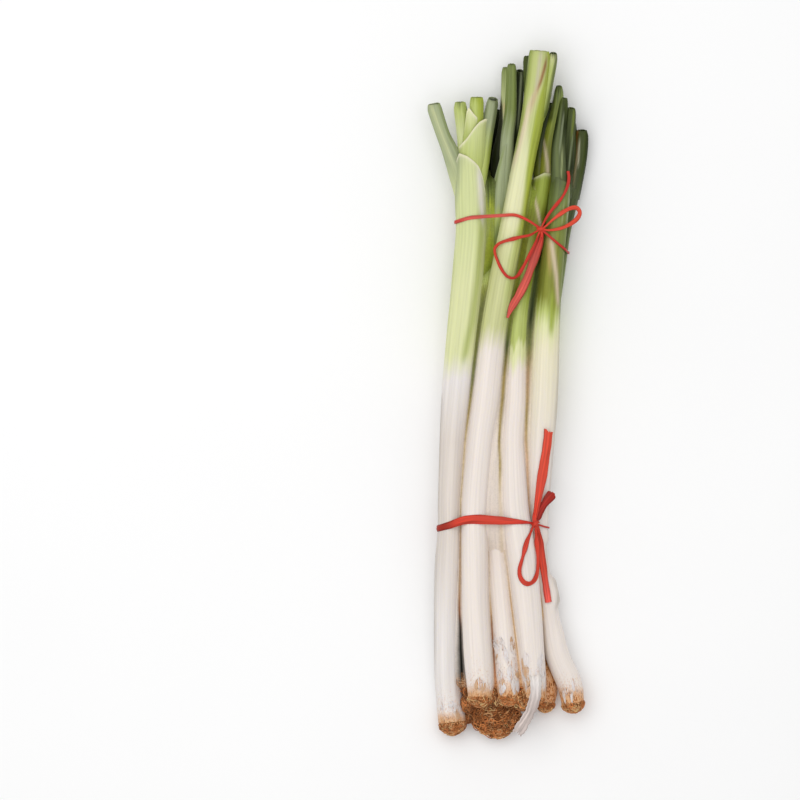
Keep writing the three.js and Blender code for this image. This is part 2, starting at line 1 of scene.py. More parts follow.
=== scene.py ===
import bpy
import numpy as np
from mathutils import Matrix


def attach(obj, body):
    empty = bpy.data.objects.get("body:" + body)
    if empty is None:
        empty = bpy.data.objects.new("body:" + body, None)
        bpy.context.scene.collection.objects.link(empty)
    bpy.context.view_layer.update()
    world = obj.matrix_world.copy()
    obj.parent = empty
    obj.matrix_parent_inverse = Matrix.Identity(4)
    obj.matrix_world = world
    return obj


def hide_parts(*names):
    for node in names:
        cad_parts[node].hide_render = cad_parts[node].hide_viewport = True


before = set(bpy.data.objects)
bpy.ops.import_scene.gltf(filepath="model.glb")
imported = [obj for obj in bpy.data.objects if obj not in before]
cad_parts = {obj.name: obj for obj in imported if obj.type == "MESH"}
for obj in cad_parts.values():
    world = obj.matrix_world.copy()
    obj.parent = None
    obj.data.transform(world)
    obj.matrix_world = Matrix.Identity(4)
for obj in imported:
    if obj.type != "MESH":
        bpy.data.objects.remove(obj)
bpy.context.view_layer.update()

MM = 0.001
UP = np.array([0.0, 0.0, 1.0])

# Angles go round a tube from its level side, and this one is its top.
TOP = 1.5 * np.pi

# The camera looks straight down on a square of the surface this wide.
VIEW_WIDTH = 696
VIEW_CENTRE = (-94.4, -3.9)
CAMERA_HEIGHT = 1500

# One broad soft lamp, with its place and width in metres and its power in watts, in a pale
# room, over a plain floor.
LAMP_PLACE = (-0.3, 0.2, 1.6)
LAMP_WIDTH = 2.0
LAMP_POWER = 14.5
ROOM_LIGHT = 0.68
FLOOR_WIDTH = 6000
FLOOR_DROP = 0.2

# How finely the surfaces are drawn. A grid is (columns round or across, mm between rows).
SHANK_GRID = (66, 2.5)
LEAF_GRID = (36, 1.9)
STRIP_GRID = (13, 0.8)
LINING_GRID = (21, 2.0)
FLAKE_COLUMNS = 14
BAND_COLUMNS = 11
BAND_ROWS = 420
LUMP_COLUMNS = 72
LUMP_ROWS = 48
ROOT_COLUMNS = 4
ROOT_STEPS = 12
SECTION_POINTS = 48
COURSE_STEPS = 40
THINNEST = 0.05

# Cut rims: each row turns over the wall and goes down inside, as [mm below the rim, share of
# the wall, how much of the light it has lost].
RIM = [[0.9, 0, 0], [0.35, 0.06, 0], [0.05, 0.3, 0], [0, 0.6, 0.06], [0.3, 0.95, 0.25],
       [1.5, 1.1, 0.55], [4, 1.35, 0.85], [9, 1.7, 1], [16, 2.2, 1]]
LEAF_WALL = 1.0
SHEATH_WALL = 0.7

# A sheath ends in a pale edge that curls out, shown from this X on, and a leaf in a rough cut
# with painted shade just below it. A leaf draws in just below its cut, may have a crease along its
# top, and where it is tucked in it is thinner over its first mm.
PALE_EDGE = 0.85
EDGE_WIDTH = 2.6
EDGE_CURL = 0.4
EDGE_CURL_WIDTH = 1.6
OPEN_EDGE = -90
CUT_SHADE = 0.35
CUT_SHADE_WIDTH = 1.3
CUT_ROUGHNESS = 0.35
TIP_GATHER = 5.0
TIP_DRAW = 0.8
TUCK_LENGTH = 26
CREASE_WIDTH = 0.3

# How high the ribs of a stalk's skin are in mm, how far its colours reach up and down along
# them, and how much its tone wanders.
RIB_HEIGHT = 0.16
FINGERS = 6
TONE_SPREAD = 0.05

# A mark that lies on one side of its line ends over at most this many mm either way.
SHORT_FADE = 3

# Each piece takes its own stretch of its pattern, this many mm further on for each seed.
STALK_STRETCH = 37
FLAKE_STRETCH = 29
STRIP_STRETCH = 31

# Flakes of skin in mm: how high they lie, how far their rims sink in, how high they wrinkle,
# how thick they are, how much deeper a close one's under side is, and their pattern's width.
FLAKE_LIFT = 0.3
FLAKE_SINK = 0.16
FLAKE_WRINKLE = 0.2
FLAKE_THICKNESS = 0.12
FLAKE_GAP = 0.4
FLAKE_WIDTH = 10

# Linings between shanks: the painted warm shade laid over their colour, how far their ends dip out
# of sight, how much they sag in the middle, how thick they are, and how low they may lie.
LINING_SHADE = (0.96, 0.91, 0.84)
LINING_DIP = 14
LINING_SAG = 1.6
LINING_THICKNESS = 0.4
LINING_LOWEST = 0.6

# Where stalks lie against each other, shade is painted on them. This is the share of red, green
# and blue that they keep there at each y, and how far off in mm the painted shade starts and fades out.
GAP_SHADE = [[-270, 0.84, 0.74, 0.6], [-40, 0.88, 0.81, 0.68], [10, 0.75, 0.7, 0.45],
           [50, 0.66, 0.65, 0.34], [110, 0.78, 0.8, 0.48], [150, 0.9, 0.93, 0.66], [190, 1, 1, 0.8]]
GAP_SHADE_REACH = (0.2, 4.0)

# Roots: the tones they vary between, the gap above a tuft, and the lump under them, as shares
# of the tuft's size.
ROOT_TONES = (0.95, 1.75)
ROOT_GAP = 0.35
LUMP_THICKEST = 1.05
LUMP_HEIGHT = 0.88

# Ribbons: the share of its width that a pinched one keeps, over how many mm it opens again, the
# half width below which its folds are lower, how thick a band is, how bright under sides are,
# how far off the shanks a band lies and how low it may lie. A knot is drawn at a share of its
# plain size, with ribs, and with a narrow turn of ribbon that stands this far off it.
PINCH = 0.55
PINCH_LENGTH = 12
SOFT_HALF = 1.6
BAND_THICKNESS = 0.4
UNDER_SHADE = 0.7
BAND_OFFSET = 0.85
BAND_LOWEST = 0.1
KNOT_SHARE = 0.72
KNOT_RIBS = 5
WRAP_WIDTH = 2.8
WRAP_LIFT = 0.35

# How big specks of soil are in mm. The real ones are finer, and are drawn at this so that they
# show.
SPECK = 1.0

# Where the random draws of each kind of piece start.
BOW_SEED = 100
SHORT_END_SEED = 221
ONION_SEED = 300
ROOTS_SEED = 500
MAT_SEED = 540
LOOSE_SKIN_SEED = 601
LINING_SEED = 700

PALETTE = {
    "white": "#ece2da",
    "cool": "#e8e2de",
    "cream": "#ebe4c6",
    "beige": "#d5c5a8",
    "pale": "#dee1ab",
    "mist": "#d3da9e",
    "lime": "#bdc973",
    "fresh": "#9fae42",
    "olive": "#898e2c",
    "leaf": "#7d8c47",
    "grey": "#a5af86",
    "deep": "#47531f",
    "dark": "#262f12",
    # Near-black: painted shade in deep gaps between stalks and inside cut tubes.
    "hollow": "#060903",
    "pine": "#58633a",
    "tan": "#d0a571",
    "straw": "#c9b287",
    "peach": "#dcb48e",
    "brown": "#93592a",
    "khaki": "#a8904e",
    "skin": "#ebe4e0",
    "milk": "#cdbfb9",
    "rose": "#dfcbb0",
    "fawn": "#b3906a",
    "moss": "#6c702c",
    "ash": "#a39a8c",
    "ivory": "#ded4cb",
    "dull": "#d0d298",
    "vivid": "#a4b230",
    "spring": "#c4d04c",
    "root": "#c67d47",
    "pale root": "#dda874",
    "dark root": "#75451f",
    "soil": "#2c170b",
    # One ribbon red in lit and shaded tones: bright, coral and dusty are painted highlights, crimson and
    # wine painted shade.
    "red": "#d03a24",
    "bright": "#de4a32",
    "coral": "#e9584c",
    "crimson": "#c42e20",
    "dusty": "#d2564a",
    "wine": "#a5261a",
}

# The outline of a tuft, as [depth, width] in shares of its whole size.
BLUNT = [[0.15, 1.0], [0.35, 0.95], [0.55, 0.84], [0.75, 0.66], [0.9, 0.45], [1, 0.2], [1.02, 0.02]]
ROUND = [[0.1, 0.96], [0.3, 1.02], [0.5, 1.0], [0.75, 0.77], [0.93, 0.44], [1, 0.2], [1.01, 0.02]]

COMMON_ROOTS = ["root", "pale root", "root", "brown", "pale root", "root"]
PALE_ROOTS = ["pale root", "root", "pale root", "root", "brown", "root"]
DARK_ROOTS = ["root", "pale root", "brown", "root", "dark root", "root"]
MAT_ROOTS = ["root", "pale root", "brown", "root", "dark root"]
MAT_RADIUS = 0.42

# Each onion. "shank" is its stalk as [x, y, z, radius] or [x, y, z, half width, half height], and
# "leaves" are the tubes that come out of it, in the same way. "roots" is its tuft: how deep and
# how wide it is, how many roots it has, their radius, their shades, and its outline.
ONIONS = [
    {
        "name": "left",
        "shank": [[-49, -284, 13.2, 12.2], [-51, -266, 13.6, 11.9], [-53, -243, 14.8, 11.5],
                  [-53.4, -213, 17.2, 11.4], [-53.3, -178, 21.8, 11.4], [-52.6, -147, 25.8, 11.5],
                  [-51.3, -118, 28.0, 10.4], [-51.3, -91, 28.8, 10.1], [-48.9, -39, 30.5, 11.1],
                  [-45.9, 0, 31.5, 12.2], [-41.3, 48, 32.2, 13.0], [-37.5, 83, 32.2, 13.4],
                  [-34.4, 118, 31.4, 13.4], [-32.6, 144, 30.8, 13.3], [-33.4, 175, 30.2, 13.4],
                  [-34.4, 200, 30.0, 12.2]],
        "leaves": [
            [[-39, 172, 29, 8.5, 8.5], [-43.5, 194, 29.5, 9, 7.5], [-51.4, 214, 30, 7, 5],
             [-57, 227, 30.6, 6, 4.3], [-63.6, 247, 31.4, 6.3, 4.1], [-65, 254.5, 31.8, 6.1, 3.9]],
            [[-37.5, 180, 29, 8.5, 8.5], [-37, 214, 28.6, 7.4, 6.5], [-39.4, 231, 28, 6.1, 5.4],
             [-41.6, 247, 27.6, 5.8, 4.9], [-42, 256, 27.4, 5.3, 4.2]],
            [[-31, 182, 31, 8.5, 8], [-29.4, 212, 31.6, 6.4, 6.2], [-28, 232, 32.6, 5.9, 5.8],
             [-27.6, 260, 33.6, 6.2, 5.2]],
            [[-29, 182, 28.5, 9, 9], [-24.4, 208, 28.4, 8.6, 7.4], [-20.6, 226, 28, 7.2, 6],
             [-16.4, 242, 27.6, 5.8, 4.9], [-13, 260, 27, 5, 4.4]],
        ],
        "roots": {"core": 11.5, "spread": 1.02, "count": 420, "radius": 0.42, "shades": COMMON_ROOTS,
                  "outline": BLUNT},
    },
    {
        "name": "tall", "open_top": True,
        "shank": [[-24.8, -262, 34.8, 10.6], [-24.9, -250, 35.0, 11.7], [-27, -221, 35.4, 12.1],
                  [-29, -178, 35.2, 11.5], [-29.4, -126, 35.0, 11.4], [-29.1, -91, 35.0, 11.3],
                  [-24.8, -39, 34.0, 11.3], [-20, -4, 33.4, 11.8], [-14.4, 48, 32.6, 11.5],
                  [-9.1, 83, 32.0, 11.3], [-2.6, 118, 31.4, 10.9], [2.6, 144, 31.2, 10.7],
                  [6.7, 168, 31.4, 9.9], [14.2, 209, 32.0, 9.6], [20.4, 240, 32.5, 9.8],
                  [24.4, 270, 33.0, 9.6], [27, 300.4, 33.4, 9.0]],
        "leaves": [
            [[24, 228, 31.5, 7.5, 7], [29, 250, 31.8, 6, 5.5], [33.4, 270, 31.6, 5.2, 4.8],
             [37.4, 287, 31.4, 4.4, 4.1], [39.4, 299, 31.4, 3.9, 3.6]],
            [[19, 228, 29, 7, 6], [18.2, 262, 27, 5, 4.2], [17, 296, 25.6, 4.4, 3.4]],
        ],
        "roots": {"core": 9, "spread": 1.08, "count": 400, "radius": 0.42, "shades": PALE_ROOTS,
                  "outline": BLUNT},
    },
    {
        "name": "middle",
        "shank": [[-0.5, -262, 29.4, 9.8], [-0.6, -250, 29.0, 10.8], [-3, -221, 27.6, 10.5],
                  [-7, -178, 24.0, 10.1], [-12.2, -126, 20.5, 9.6], [-16.1, -91, 18.0, 9.2],
                  [-17.2, -39, 12.0, 9.6], [-16.2, -4, 9.7, 10.0], [-13, 48, 9.6, 9.9],
                  [-11, 83, 9.7, 9.8], [-10.3, 118, 11.4, 9.8], [-9.3, 144, 13.4, 9.7],
                  [-8, 168, 15.8, 9.5], [-6.4, 192, 17.4, 8.6]],
        "leaves": [
            [[-7, 172, 17, 8, 7.5], [-8.6, 205, 18.4, 6.6, 6], [-4.4, 232, 19, 5.2, 4.6],
             [-2.8, 258, 19.4, 4, 3.6], [-2.8, 286, 19.6, 3.2, 3]],
            [[-5, 172, 17.5, 8, 7.5], [-1.6, 222, 21, 6.2, 5.2], [1.7, 248, 21.6, 5.4, 4.4],
             [2.8, 289, 22.4, 4, 3.6]],
            [[-4, 172, 15.5, 7.5, 7], [3, 222, 14, 5.8, 4.5], [7.4, 248, 14.4, 4.8, 4],
             [10.2, 284, 15, 4.1, 3.5]],
        ],
        "roots": {"core": 8, "spread": 1.06, "count": 380, "radius": 0.42, "shades": PALE_ROOTS,
                  "outline": BLUNT},
    },
    {
        "name": "front",
        "shank": [[22.6, -263, 28.3, 9.4], [22.2, -250, 28.8, 10.6], [20, -221, 31.2, 11.1],
                  [16.1, -178, 34.0, 12.2], [12.2, -143, 35.6, 12.4], [7.4, -111, 34.0, 12.1],
                  [5.2, -91, 33.0, 11.6], [3.9, -39, 29.0, 9.8], [6.1, -4, 26.2, 10.0],
                  [8, 48, 23.6, 9.4], [11.5, 83, 21.8, 9.1], [18.7, 118, 19.6, 9.1],
                  [22.6, 144, 18.2, 9.1], [27.4, 170, 17.6, 9.1], [31, 194, 17.6, 8.4]],
        "leaves": [
            [[31, 176, 17.5, 8, 7.5], [35.4, 213, 18, 7, 6], [40.6, 241, 18.8, 5.9, 4.9],
             [43.2, 257, 19.6, 4.7, 4], [44, 270, 20, 3.2, 2.9]],
            [[28, 176, 16.5, 7, 6.5], [28.6, 213, 15.6, 6.2, 5.4], [33.4, 240, 15, 5.2, 4.5],
             [36.6, 255, 15, 4.4, 3.8]],
        ],
        "roots": {"core": 6, "spread": 1.0, "count": 280, "radius": 0.4, "shades": COMMON_ROOTS,
                  "outline": BLUNT},
    },
    {
        "name": "right",
        "shank": [[56, -267, 16.8, 9.8], [52.8, -250, 17.6, 11.0], [41, -221, 19.6, 10.4],
                  [33.9, -178, 18.6, 9.9], [27, -143, 18.5, 9.7], [24.6, -112, 18.6, 9.9],
                  [25.4, -91, 20.0, 10.3], [28.7, -39, 26.5, 11.3], [31.3, -4, 30.6, 11.6],
                  [33.1, 48, 31.4, 11.3], [35.2, 83, 30.8, 10.5], [38.3, 118, 30.8, 10.0],
                  [41.2, 144, 30.0, 9.6], [44, 170, 29.4, 9.3], [46, 192, 29.0, 8.4]],
        "leaves": [
            [[44.5, 172, 29.5, 7.5, 7], [43.4, 213, 31.4, 6.2, 5.2], [46, 238, 32, 4.9, 4.2],
             [48.8, 259.5, 32, 3.3, 3]],
            [[47, 172, 27.4, 7.5, 7], [50.8, 213, 27, 6.4, 5.2], [53.2, 234, 27, 5, 4.4],
             [54.6, 251, 27, 4.2, 3.8]],
        ],
        "roots": {"core": 9, "spread": 1.08, "count": 380, "radius": 0.42, "shades": COMMON_ROOTS,
                  "outline": BLUNT},
    },
    {
        "name": "under_left",
        "shank": [[-14, -266, 11.0, 9.6], [-18.5, -250, 10.8, 11.2], [-26, -221, 11.0, 11.4],
                  [-31.5, -178, 11.0, 11.4], [-34, -112, 12.8, 11.0], [-36.8, -65, 10.9, 10.6],
                  [-38, -39, 9.9, 10.3], [-38, -4, 9.6, 10.0], [-35, 48, 9.0, 9.4], [-32, 83, 8.5, 8.9],
                  [-29.8, 118, 9.5, 8.3], [-27.6, 148, 9.7, 7.8], [-25, 170, 8.8, 7.6],
                  [-22, 192, 8.2, 7.0]],
        "leaves": [
            [[-23.2, 180, 8.2, 6.2, 6], [-17.8, 208, 7, 6, 4.8], [-12, 232, 7.4, 5.4, 4.4],
             [-9, 249, 8, 4.8, 4]],
            [[-24, 176, 8.2, 6.4, 6], [-25, 208, 7.8, 6, 5], [-22.6, 232, 8.6, 5.4, 4.4],
             [-21, 246, 9.4, 4.8, 4]],
        ],
        "roots": {"core": 32, "spread": 2.3, "count": 1150, "radius": 0.48, "shades": DARK_ROOTS,
                  "outline": ROUND},
    },
    {
        "name": "under_right",
        "shank": [[32, -267, 9.2, 8.4], [33, -250, 9.1, 9.4], [21.8, -221, 9.2, 9.5],
                  [15, -178, 9.4, 9.7], [8.6, -143, 10.4, 9.8], [5, -112, 11.6, 9.8],
                  [9.5, -75, 10.0, 9.8], [14, -39, 9.5, 9.8], [22, -4, 9.3, 9.6], [30.6, 48, 9.2, 9.5],
                  [36, 83, 9.3, 9.4], [41.4, 118, 10.9, 9.1], [45, 142, 11.0, 9.0],
                  [51, 168, 10.2, 9.0], [56, 186, 11.0, 8.4]],
        "leaves": [
            [[54.5, 172, 11, 7.5, 7.2], [61.2, 200, 12.4, 6.1, 5.5], [63.6, 219, 13.4, 5.8, 5],
             [63.6, 231.5, 14, 5.4, 4.6]],
            [[52.5, 172, 10.5, 7, 6.6], [55, 213, 13, 5.6, 5], [53.6, 241, 14, 4.8, 4.2]],
        ],
        "roots": {"core": 8.5, "spread": 1.05, "count": 340, "radius": 0.42, "shades": COMMON_ROOTS,
                  "outline": BLUNT},
    },
]

# Ties. A ribbon's course goes over the top layer of stalks at heights y that depend on x,
# given as [x, y] points, and under the bottom layer on a straight line between its two ends.
# "widths" and "tones" are [x, width] and [x, colour], the tones being painted light and shade on
# the ribbon's red, and it is in painted shade left of "shaded".
UPPER_TIE = {
    "name": "upper_tie",
    "over": [[-47, 150.6], [-34, 154.8], [-20, 155.8], [6, 157.4], [17, 152.7], [28.3, 145],
             [39, 135.5], [53, 124]],
    "under": [[-47, 150.6], [53, 124]],
    "widths": [[-48, 3.0], [-30, 3.3], [-20, 3.1], [12, 2.7], [22, 2.2], [54, 2.3]],
    "shaded": [60, 70],
    "tones": [[-47, "crimson"], [-38, "dusty"], [-8, "dusty"], [10, "red"], [24, "crimson"]],
    "knot": {"at": [28.3, 144.9, 41.4], "size": [7, 6.4, 4.4], "turn": -25},
    "seed": 201,
}
LOWER_TIE = {
    "name": "lower_tie",
    "over": [[-61.5, -115.6], [-51, -112.7], [-39.6, -108.4], [-29, -107.6], [-3, -109], [18.7, -110.6],
             [36, -115]],
    "under": [[-61.5, -115.6], [36, -115]],
    "widths": [[-63, 5.8], [-45, 6.8], [-24, 8.6], [-6, 7.6], [10, 4], [18, 2.2], [28, 1.5], [44, 1.4]],
    "shaded": [44, 56],
    "tones": [[-60, "red"], [0, "red"], [14, "crimson"]],
    "knot": {"at": [23.4, -111.2, 39.1], "size": [6, 7, 4.6], "turn": 10},
    "seed": 231,
}

# Free ends and loops of the two bows, as points [x, y, z, roll in degrees]. "pinched" says which
# ends a knot gathers, and "look" how each differs from a plain strip. Their tones are painted
# light and shade on the ribbon's red.
BOWS = [
    {
        "name": "upper_tie_left_loop", "width": 2.8, "pinched": [True, True],
        "route": [[24, 142.6, 42.4, 0], [18.7, 139.6, 43, 0], [11, 138, 44, 0], [3.9, 136.2, 44.6, 0],
                  [-3, 134.4, 44.4, 0], [-8.4, 132.2, 43.2, 12], [-11.9, 128.2, 41.6, 22],
                  [-11.8, 123.4, 41.2, 25], [-10, 118, 41.8, 22], [-7.6, 112.6, 43.2, 14],
                  [-4.4, 107.2, 44.4, 6], [-0.6, 103.4, 44.4, 0], [3.9, 102.2, 43, 0],
                  [8, 104.4, 40.8, 0], [11.4, 109.4, 39.2, 0], [15.4, 116.6, 38.6, 0],
                  [20.2, 126, 39.6, 0], [24, 134.4, 41.4, 0], [25.6, 139.2, 42.4, 0]],
        "look": {"tones": [[0, "crimson"], [40, "red"], [70, "crimson"]], "turning": 0.25},
    },
    {
        "name": "upper_tie_right_loop", "width": 3.4, "pinched": [True, True],
        "route": [[32.8, 147.6, 42.4, 0], [38.7, 153, 41.8, 0], [44.4, 157.4, 41, 5],
                  [50, 161, 39.6, 8], [55.2, 163.2, 37.8, 8], [59.6, 163, 36, 5], [62, 159.6, 35, 0],
                  [60.8, 155.4, 35.4, -5], [57.4, 151.6, 36.6, -8], [52.4, 148.4, 38.4, -8],
                  [46.6, 145.8, 40.4, -5], [40.4, 144.4, 41.9, 0], [36.4, 143.9, 42.6, 0],
                  [33.9, 143.8, 42.9, 0]],
        "look": {"tones": [[0, "bright"]], "narrow": 1.1, "turning": 0.35},
    },
    {
        "name": "upper_tie_thin_tail", "width": 2.5, "pinched": [True, False],
        "route": [[30, 149, 43, 0], [33, 154.6, 43, 0], [37, 160.4, 42.4, 0], [41.4, 165.8, 41.4, 0],
                  [45.7, 171, 40.2, 8], [49.4, 177, 38.8, 14], [51.8, 183.4, 37.6, 18],
                  [52.6, 189.6, 36.6, 18], [51.8, 195.5, 36, 15]],
        "look": {"tones": [[0, "crimson"]], "narrow": 1.1, "turning": 0.25},
    },
    {
        "name": "upper_tie_wide_tail", "width": 5.6, "pinched": [True, False],
        "route": [[28.9, 139.9, 40.6, 0], [28, 134.6, 39, -8], [25.8, 128, 37, -10],
                  [23, 120, 35.4, -10], [19.6, 110.6, 34.6, -8], [16.2, 101.6, 34.4, -5],
                  [12.6, 93.8, 35, -5], [8.8, 86.4, 36, -8], [5.2, 80.4, 37.2, -14],
                  [2, 74.6, 38.6, -18], [-0.9, 67.4, 40.6, -16]],
        "look": {"tones": [[0, "crimson"], [20, "dusty"]], "end": "point", "pleat": 0.2, "narrow": 1.3},
    },
    {
        "name": "lower_tie_loop", "width": 4, "pinched": [True, True],
        "route": [[20.6, -116.2, 41.4, -35], [18.9, -120.6, 43.6, -35], [16.6, -126.6, 46.8, -30],
                  [14.2, -134.4, 49.1, -15], [11.8, -142.6, 49.8, 0], [9.8, -149.6, 49.6, 5],
                  [9.6, -155.6, 49.2, 5], [11.8, -160.8, 48.8, 0], [16, -163.8, 48.6, 0],
                  [20.6, -162.8, 47, 15], [24, -158.6, 44.8, 30], [25.6, -152.4, 43, 35],
                  [25.8, -144, 42, 30], [25.4, -134.4, 41, 20], [24.6, -125.4, 39.8, 10],
                  [23.6, -116.9, 38.6, 0]],
        "look": {"narrow": 0.95, "turning": 0.3},
    },
    {
        "name": "lower_tie_up_tail", "width": 7.4, "pinched": [True, False],
        "route": [[22.6, -106.2, 39.4, 0], [24, -100, 39.4, 0], [25.6, -91, 38.6, 0],
                  [27.2, -82, 37.8, 0], [28.8, -73, 37.4, 0], [30.4, -64, 37.6, 5],
                  [31.8, -55.4, 38.4, 10], [33.2, -47, 39.6, 12], [34.4, -38, 40.8, 15],
                  [35.2, -29, 41.8, 15]],
        "look": {"tones": [[0, "red"], [50, "bright"]], "end": "step", "pleat": 0.2, "narrow": 1.1,
                 "opens": 36},
    },
    {
        "name": "lower_tie_down_tail", "width": 5.6, "pinched": [True, False],
        "route": [[25.8, -116.6, 35.6, -10], [27.2, -124.8, 33.4, -10], [28.4, -133.4, 31.6, -10],
                  [29.4, -142, 30.6, -8], [30.6, -151, 30.2, -5], [31.8, -160, 30.2, -3],
                  [33.2, -170, 30.2, 0], [34.8, -180.4, 30.2, 0]],
        "look": {"tones": [[0, "red"], [36, "bright"], [62, "coral"]], "pleat": 0.2, "narrow": 1.05},
    },
]

# The short cut end that stands off the lower knot.
SHORT_END = {
    "width": 9.0,
    "pinched": [True, False],
    "route": [[23, -109.4, 37, 0], [26, -102.6, 36, 5], [30.2, -96, 34.8, 8], [34.8, -90, 33.8, 12],
              [39.6, -84.4, 32.8, 16]],
}

# The strip of dry outer skin that hangs off the root end of the front onion.
LOOSE_SKIN = {
    "width": 9.4,
    "route": [[23.6, -240, 40.7, -4], [23.8, -248, 40.4, -8], [23.6, -257, 39.9, -10],
              [22.4, -265.5, 38.8, -10], [18, -277, 35.6, -5], [11, -288.6, 30.8, 0],
              [7, -294.4, 28, 0]],
}


def streak(colour, strength, line, side=0, fade=18, until=None, lift=0):
    """A mark on a stalk: a streak of colour that follows line, as [y, x, half width], or all
    that lies to its right with side 1 or to its left with side -1, until that y. It fades in
    and out over fade mm, and stands proud by lift."""
    return {"colour": colour, "strength": strength, "line": np.array(line, float), "side": side,
            "fade": fade, "until": until, "lift": lift}


def swell(lift, line, **where):
    """A mark with no colour of its own, that stands proud, or is sunk where lift is negative."""
    return streak("white", 0, line, lift=lift, **where)
